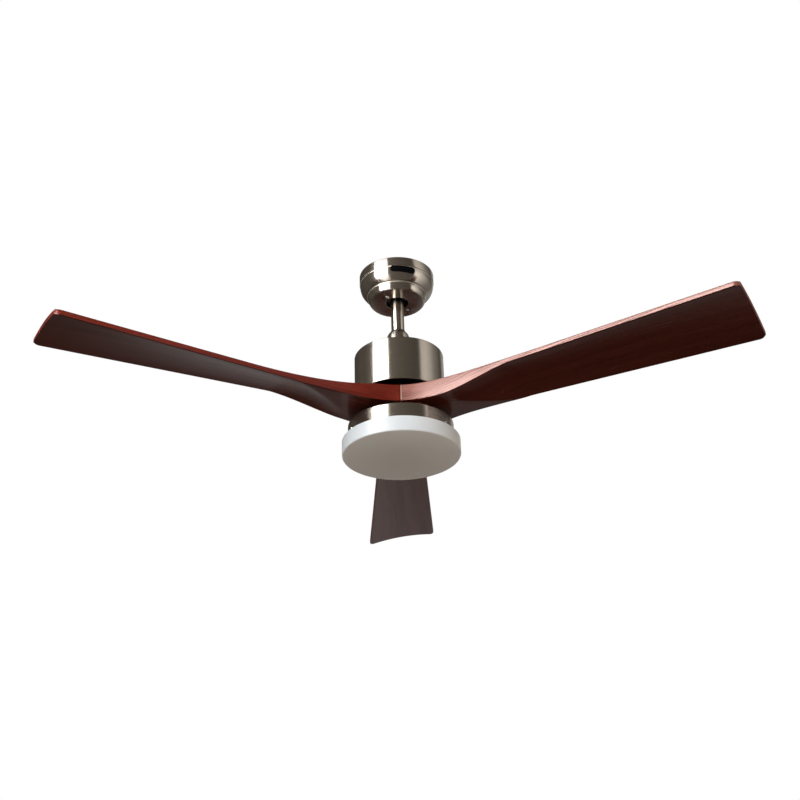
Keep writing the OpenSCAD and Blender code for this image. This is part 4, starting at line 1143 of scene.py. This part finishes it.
def line(x, points):
    """Straight lines through (x, y) points, level outside them."""
    if x <= points[0][0]:
        return points[0][1]
    for (x0, y0), (x1, y1) in zip(points, points[1:]):
        if x <= x1:
            return y0 + (y1 - y0) * (x - x0) / (x1 - x0)
    return points[-1][1]


def studio_glow(az, el):
    """What the fan's metal and lacquer reflect, towards an azimuth and an elevation in degrees: a dim room, a
    big white softbox at the front left, a cream panel around the right, and a low one behind."""
    room = WARM * (line(az, ROOM_AZ) * line(el, ROOM_HIGH_EL))
    glow = room.lerp(WARM * line(az, BELOW_AZ), 1 - crossing(el, *BELOW_EDGE))
    softbox = between(az, *SOFTBOX_SIDES) * between(el, *SOFTBOX_ENDS)
    glow = glow.lerp(NEUTRAL * (line(el, SOFTBOX_EL) * line(az, SOFTBOX_AZ)), softbox)
    around = az if az > 180 else az + 360
    low, high = line(around, PANEL_LOW_AZ), line(around, PANEL_HIGH_AZ)
    panel = between(around, *PANEL_SIDES) * between(el, *PANEL_ENDS)
    glow = glow.lerp(CREAM * (low + (high - low) * crossing(el, *PANEL_HIGH_EDGE)), panel)
    rear = crossing(az, *REAR_START) * (1 - crossing(az, *REAR_END)) * (1 - crossing(el, *REAR_TOP))
    return glow.lerp(NEUTRAL * REAR_GLOW, rear * line(el, REAR_EL))


def stage_object(name, verts, faces):
    """A mesh object of the studio around the fan."""
    mesh = bpy.data.meshes.new(name)
    mesh.from_pydata(verts, [], faces)
    made = linked(name, mesh)
    return made


def outward(azimuth, elevation):
    """The direction towards an azimuth and an elevation in degrees."""
    a, e = math.radians(azimuth), math.radians(elevation)
    return Vector((math.cos(a) * math.cos(e), math.sin(a) * math.cos(e), math.sin(e)))


def make_dome():
    """The studio around the fan: a glowing sphere that shows in reflections only, a point at each degree."""
    across, up = 360, 180
    verts, faces, glow = [], [], []
    for el in range(-up // 2, up // 2 + 1):
        for az in range(across):
            verts.append(FAN_MID + DOME_R * outward(az, el))
            glow += [*studio_glow(az, el), 1.0]
    for j in range(up):
        for i in range(across):
            k = (i + 1) % across
            faces.append((j * across + i, j * across + k, (j + 1) * across + k, (j + 1) * across + i))
    dome = stage_object("studio_dome", verts, faces)
    layer = dome.data.color_attributes.new("glow", "FLOAT_COLOR", "POINT")
    layer.data.foreach_set("color", glow)
    material = bpy.data.materials.new("studio_dome")
    material.use_nodes = True
    tree = material.node_tree
    tree.nodes.clear()
    out = tree.nodes.new("ShaderNodeOutputMaterial")
    shine = tree.nodes.new("ShaderNodeEmission")
    brightness = tree.nodes.new("ShaderNodeAttribute")
    brightness.attribute_name = "glow"
    tree.links.new(brightness.outputs["Color"], shine.inputs["Color"])
    tree.links.new(shine.outputs[0], out.inputs["Surface"])
    dome.data.materials.append(material)
    dome.visible_camera = False
    dome.visible_shadow = False
    dome.visible_transmission = False
    dome.visible_diffuse = False


LAMP_DISTANCE = 2.4


def lamp(name, azimuth, elevation, size, watts, colour):
    """A square lamp that faces the fan and lights it without showing in its reflections."""
    data = bpy.data.lights.new(name, "AREA")
    data.shape, data.size, data.energy, data.color = "SQUARE", size, watts, colour
    made = linked(name, data)
    out = outward(azimuth, elevation)
    made.location = FAN_MID + LAMP_DISTANCE * out
    made.rotation_euler = out.to_track_quat("Z", "Y").to_euler()
    made.visible_glossy = False
    made.visible_camera = False


FLOOR_HALF = 8.0
FLOOR_Z = -3.0
PAPER_DARK = (0.51, 0.465, 0.43)
PAPER_LIGHT = (0.53, 0.485, 0.45)


def make_floor():
    """A plain floor under the fan."""
    s, z = FLOOR_HALF, FLOOR_Z
    floor = stage_object("studio_floor", [(-s, -s, z), (s, -s, z), (s, s, z), (-s, s, z)], [(0, 1, 2, 3)])
    paper = Shader("floor_paper", Roughness=0.9)
    paper.colour(paper.ramp(paper.noise(paper.coords(), 3.0, 4.0), [(0.3, PAPER_DARK), (0.7, PAPER_LIGHT)]))
    floor.data.materials.append(paper.material)
    floor.visible_glossy = False


ROOM_LIGHT = (1.0, 0.87, 0.74, 1)
ROOM_STRENGTH = 0.53
WHITE = (1, 1, 1, 1)


def studio_world():
    """White for what the camera sees; a dimmer room lights the fan."""
    world = bpy.data.worlds.new("studio")
    bpy.context.scene.world = world
    world.use_nodes = True
    tree = world.node_tree
    tree.nodes.clear()
    out = tree.nodes.new("ShaderNodeOutputWorld")
    mix = tree.nodes.new("ShaderNodeMixShader")
    dim = tree.nodes.new("ShaderNodeBackground")
    white = tree.nodes.new("ShaderNodeBackground")
    path = tree.nodes.new("ShaderNodeLightPath")
    dim.inputs["Color"].default_value = ROOM_LIGHT
    dim.inputs["Strength"].default_value = ROOM_STRENGTH
    white.inputs["Color"].default_value = WHITE
    seen = path.outputs["Is Camera Ray"]
    for kind in ("Is Glossy Ray", "Is Transmission Ray"):
        add = tree.nodes.new("ShaderNodeMath")
        add.operation = "MAXIMUM"
        tree.links.new(seen, add.inputs[0])
        tree.links.new(path.outputs[kind], add.inputs[1])
        seen = add.outputs[0]
    tree.links.new(seen, mix.inputs["Fac"])
    tree.links.new(dim.outputs[0], mix.inputs[1])
    tree.links.new(white.outputs[0], mix.inputs[2])
    tree.links.new(mix.outputs[0], out.inputs["Surface"])


make_dome()
lamp("key_lamp", 243, 12, 1.4, 35.5, (0.88, 1.0, 1.13))
lamp("rim_lamp", 90, -2, 1.0, 5.0, (1.0, 0.98, 0.95))
lamp("left_fill", 185, 4, 1.2, 4.0, (0.86, 1.0, 1.13))
lamp("right_fill", 352, 4, 1.2, 4.1, (1.0, 0.92, 0.80))
make_floor()
studio_world()

scene = bpy.context.scene
scene.view_settings.view_transform = "Standard"
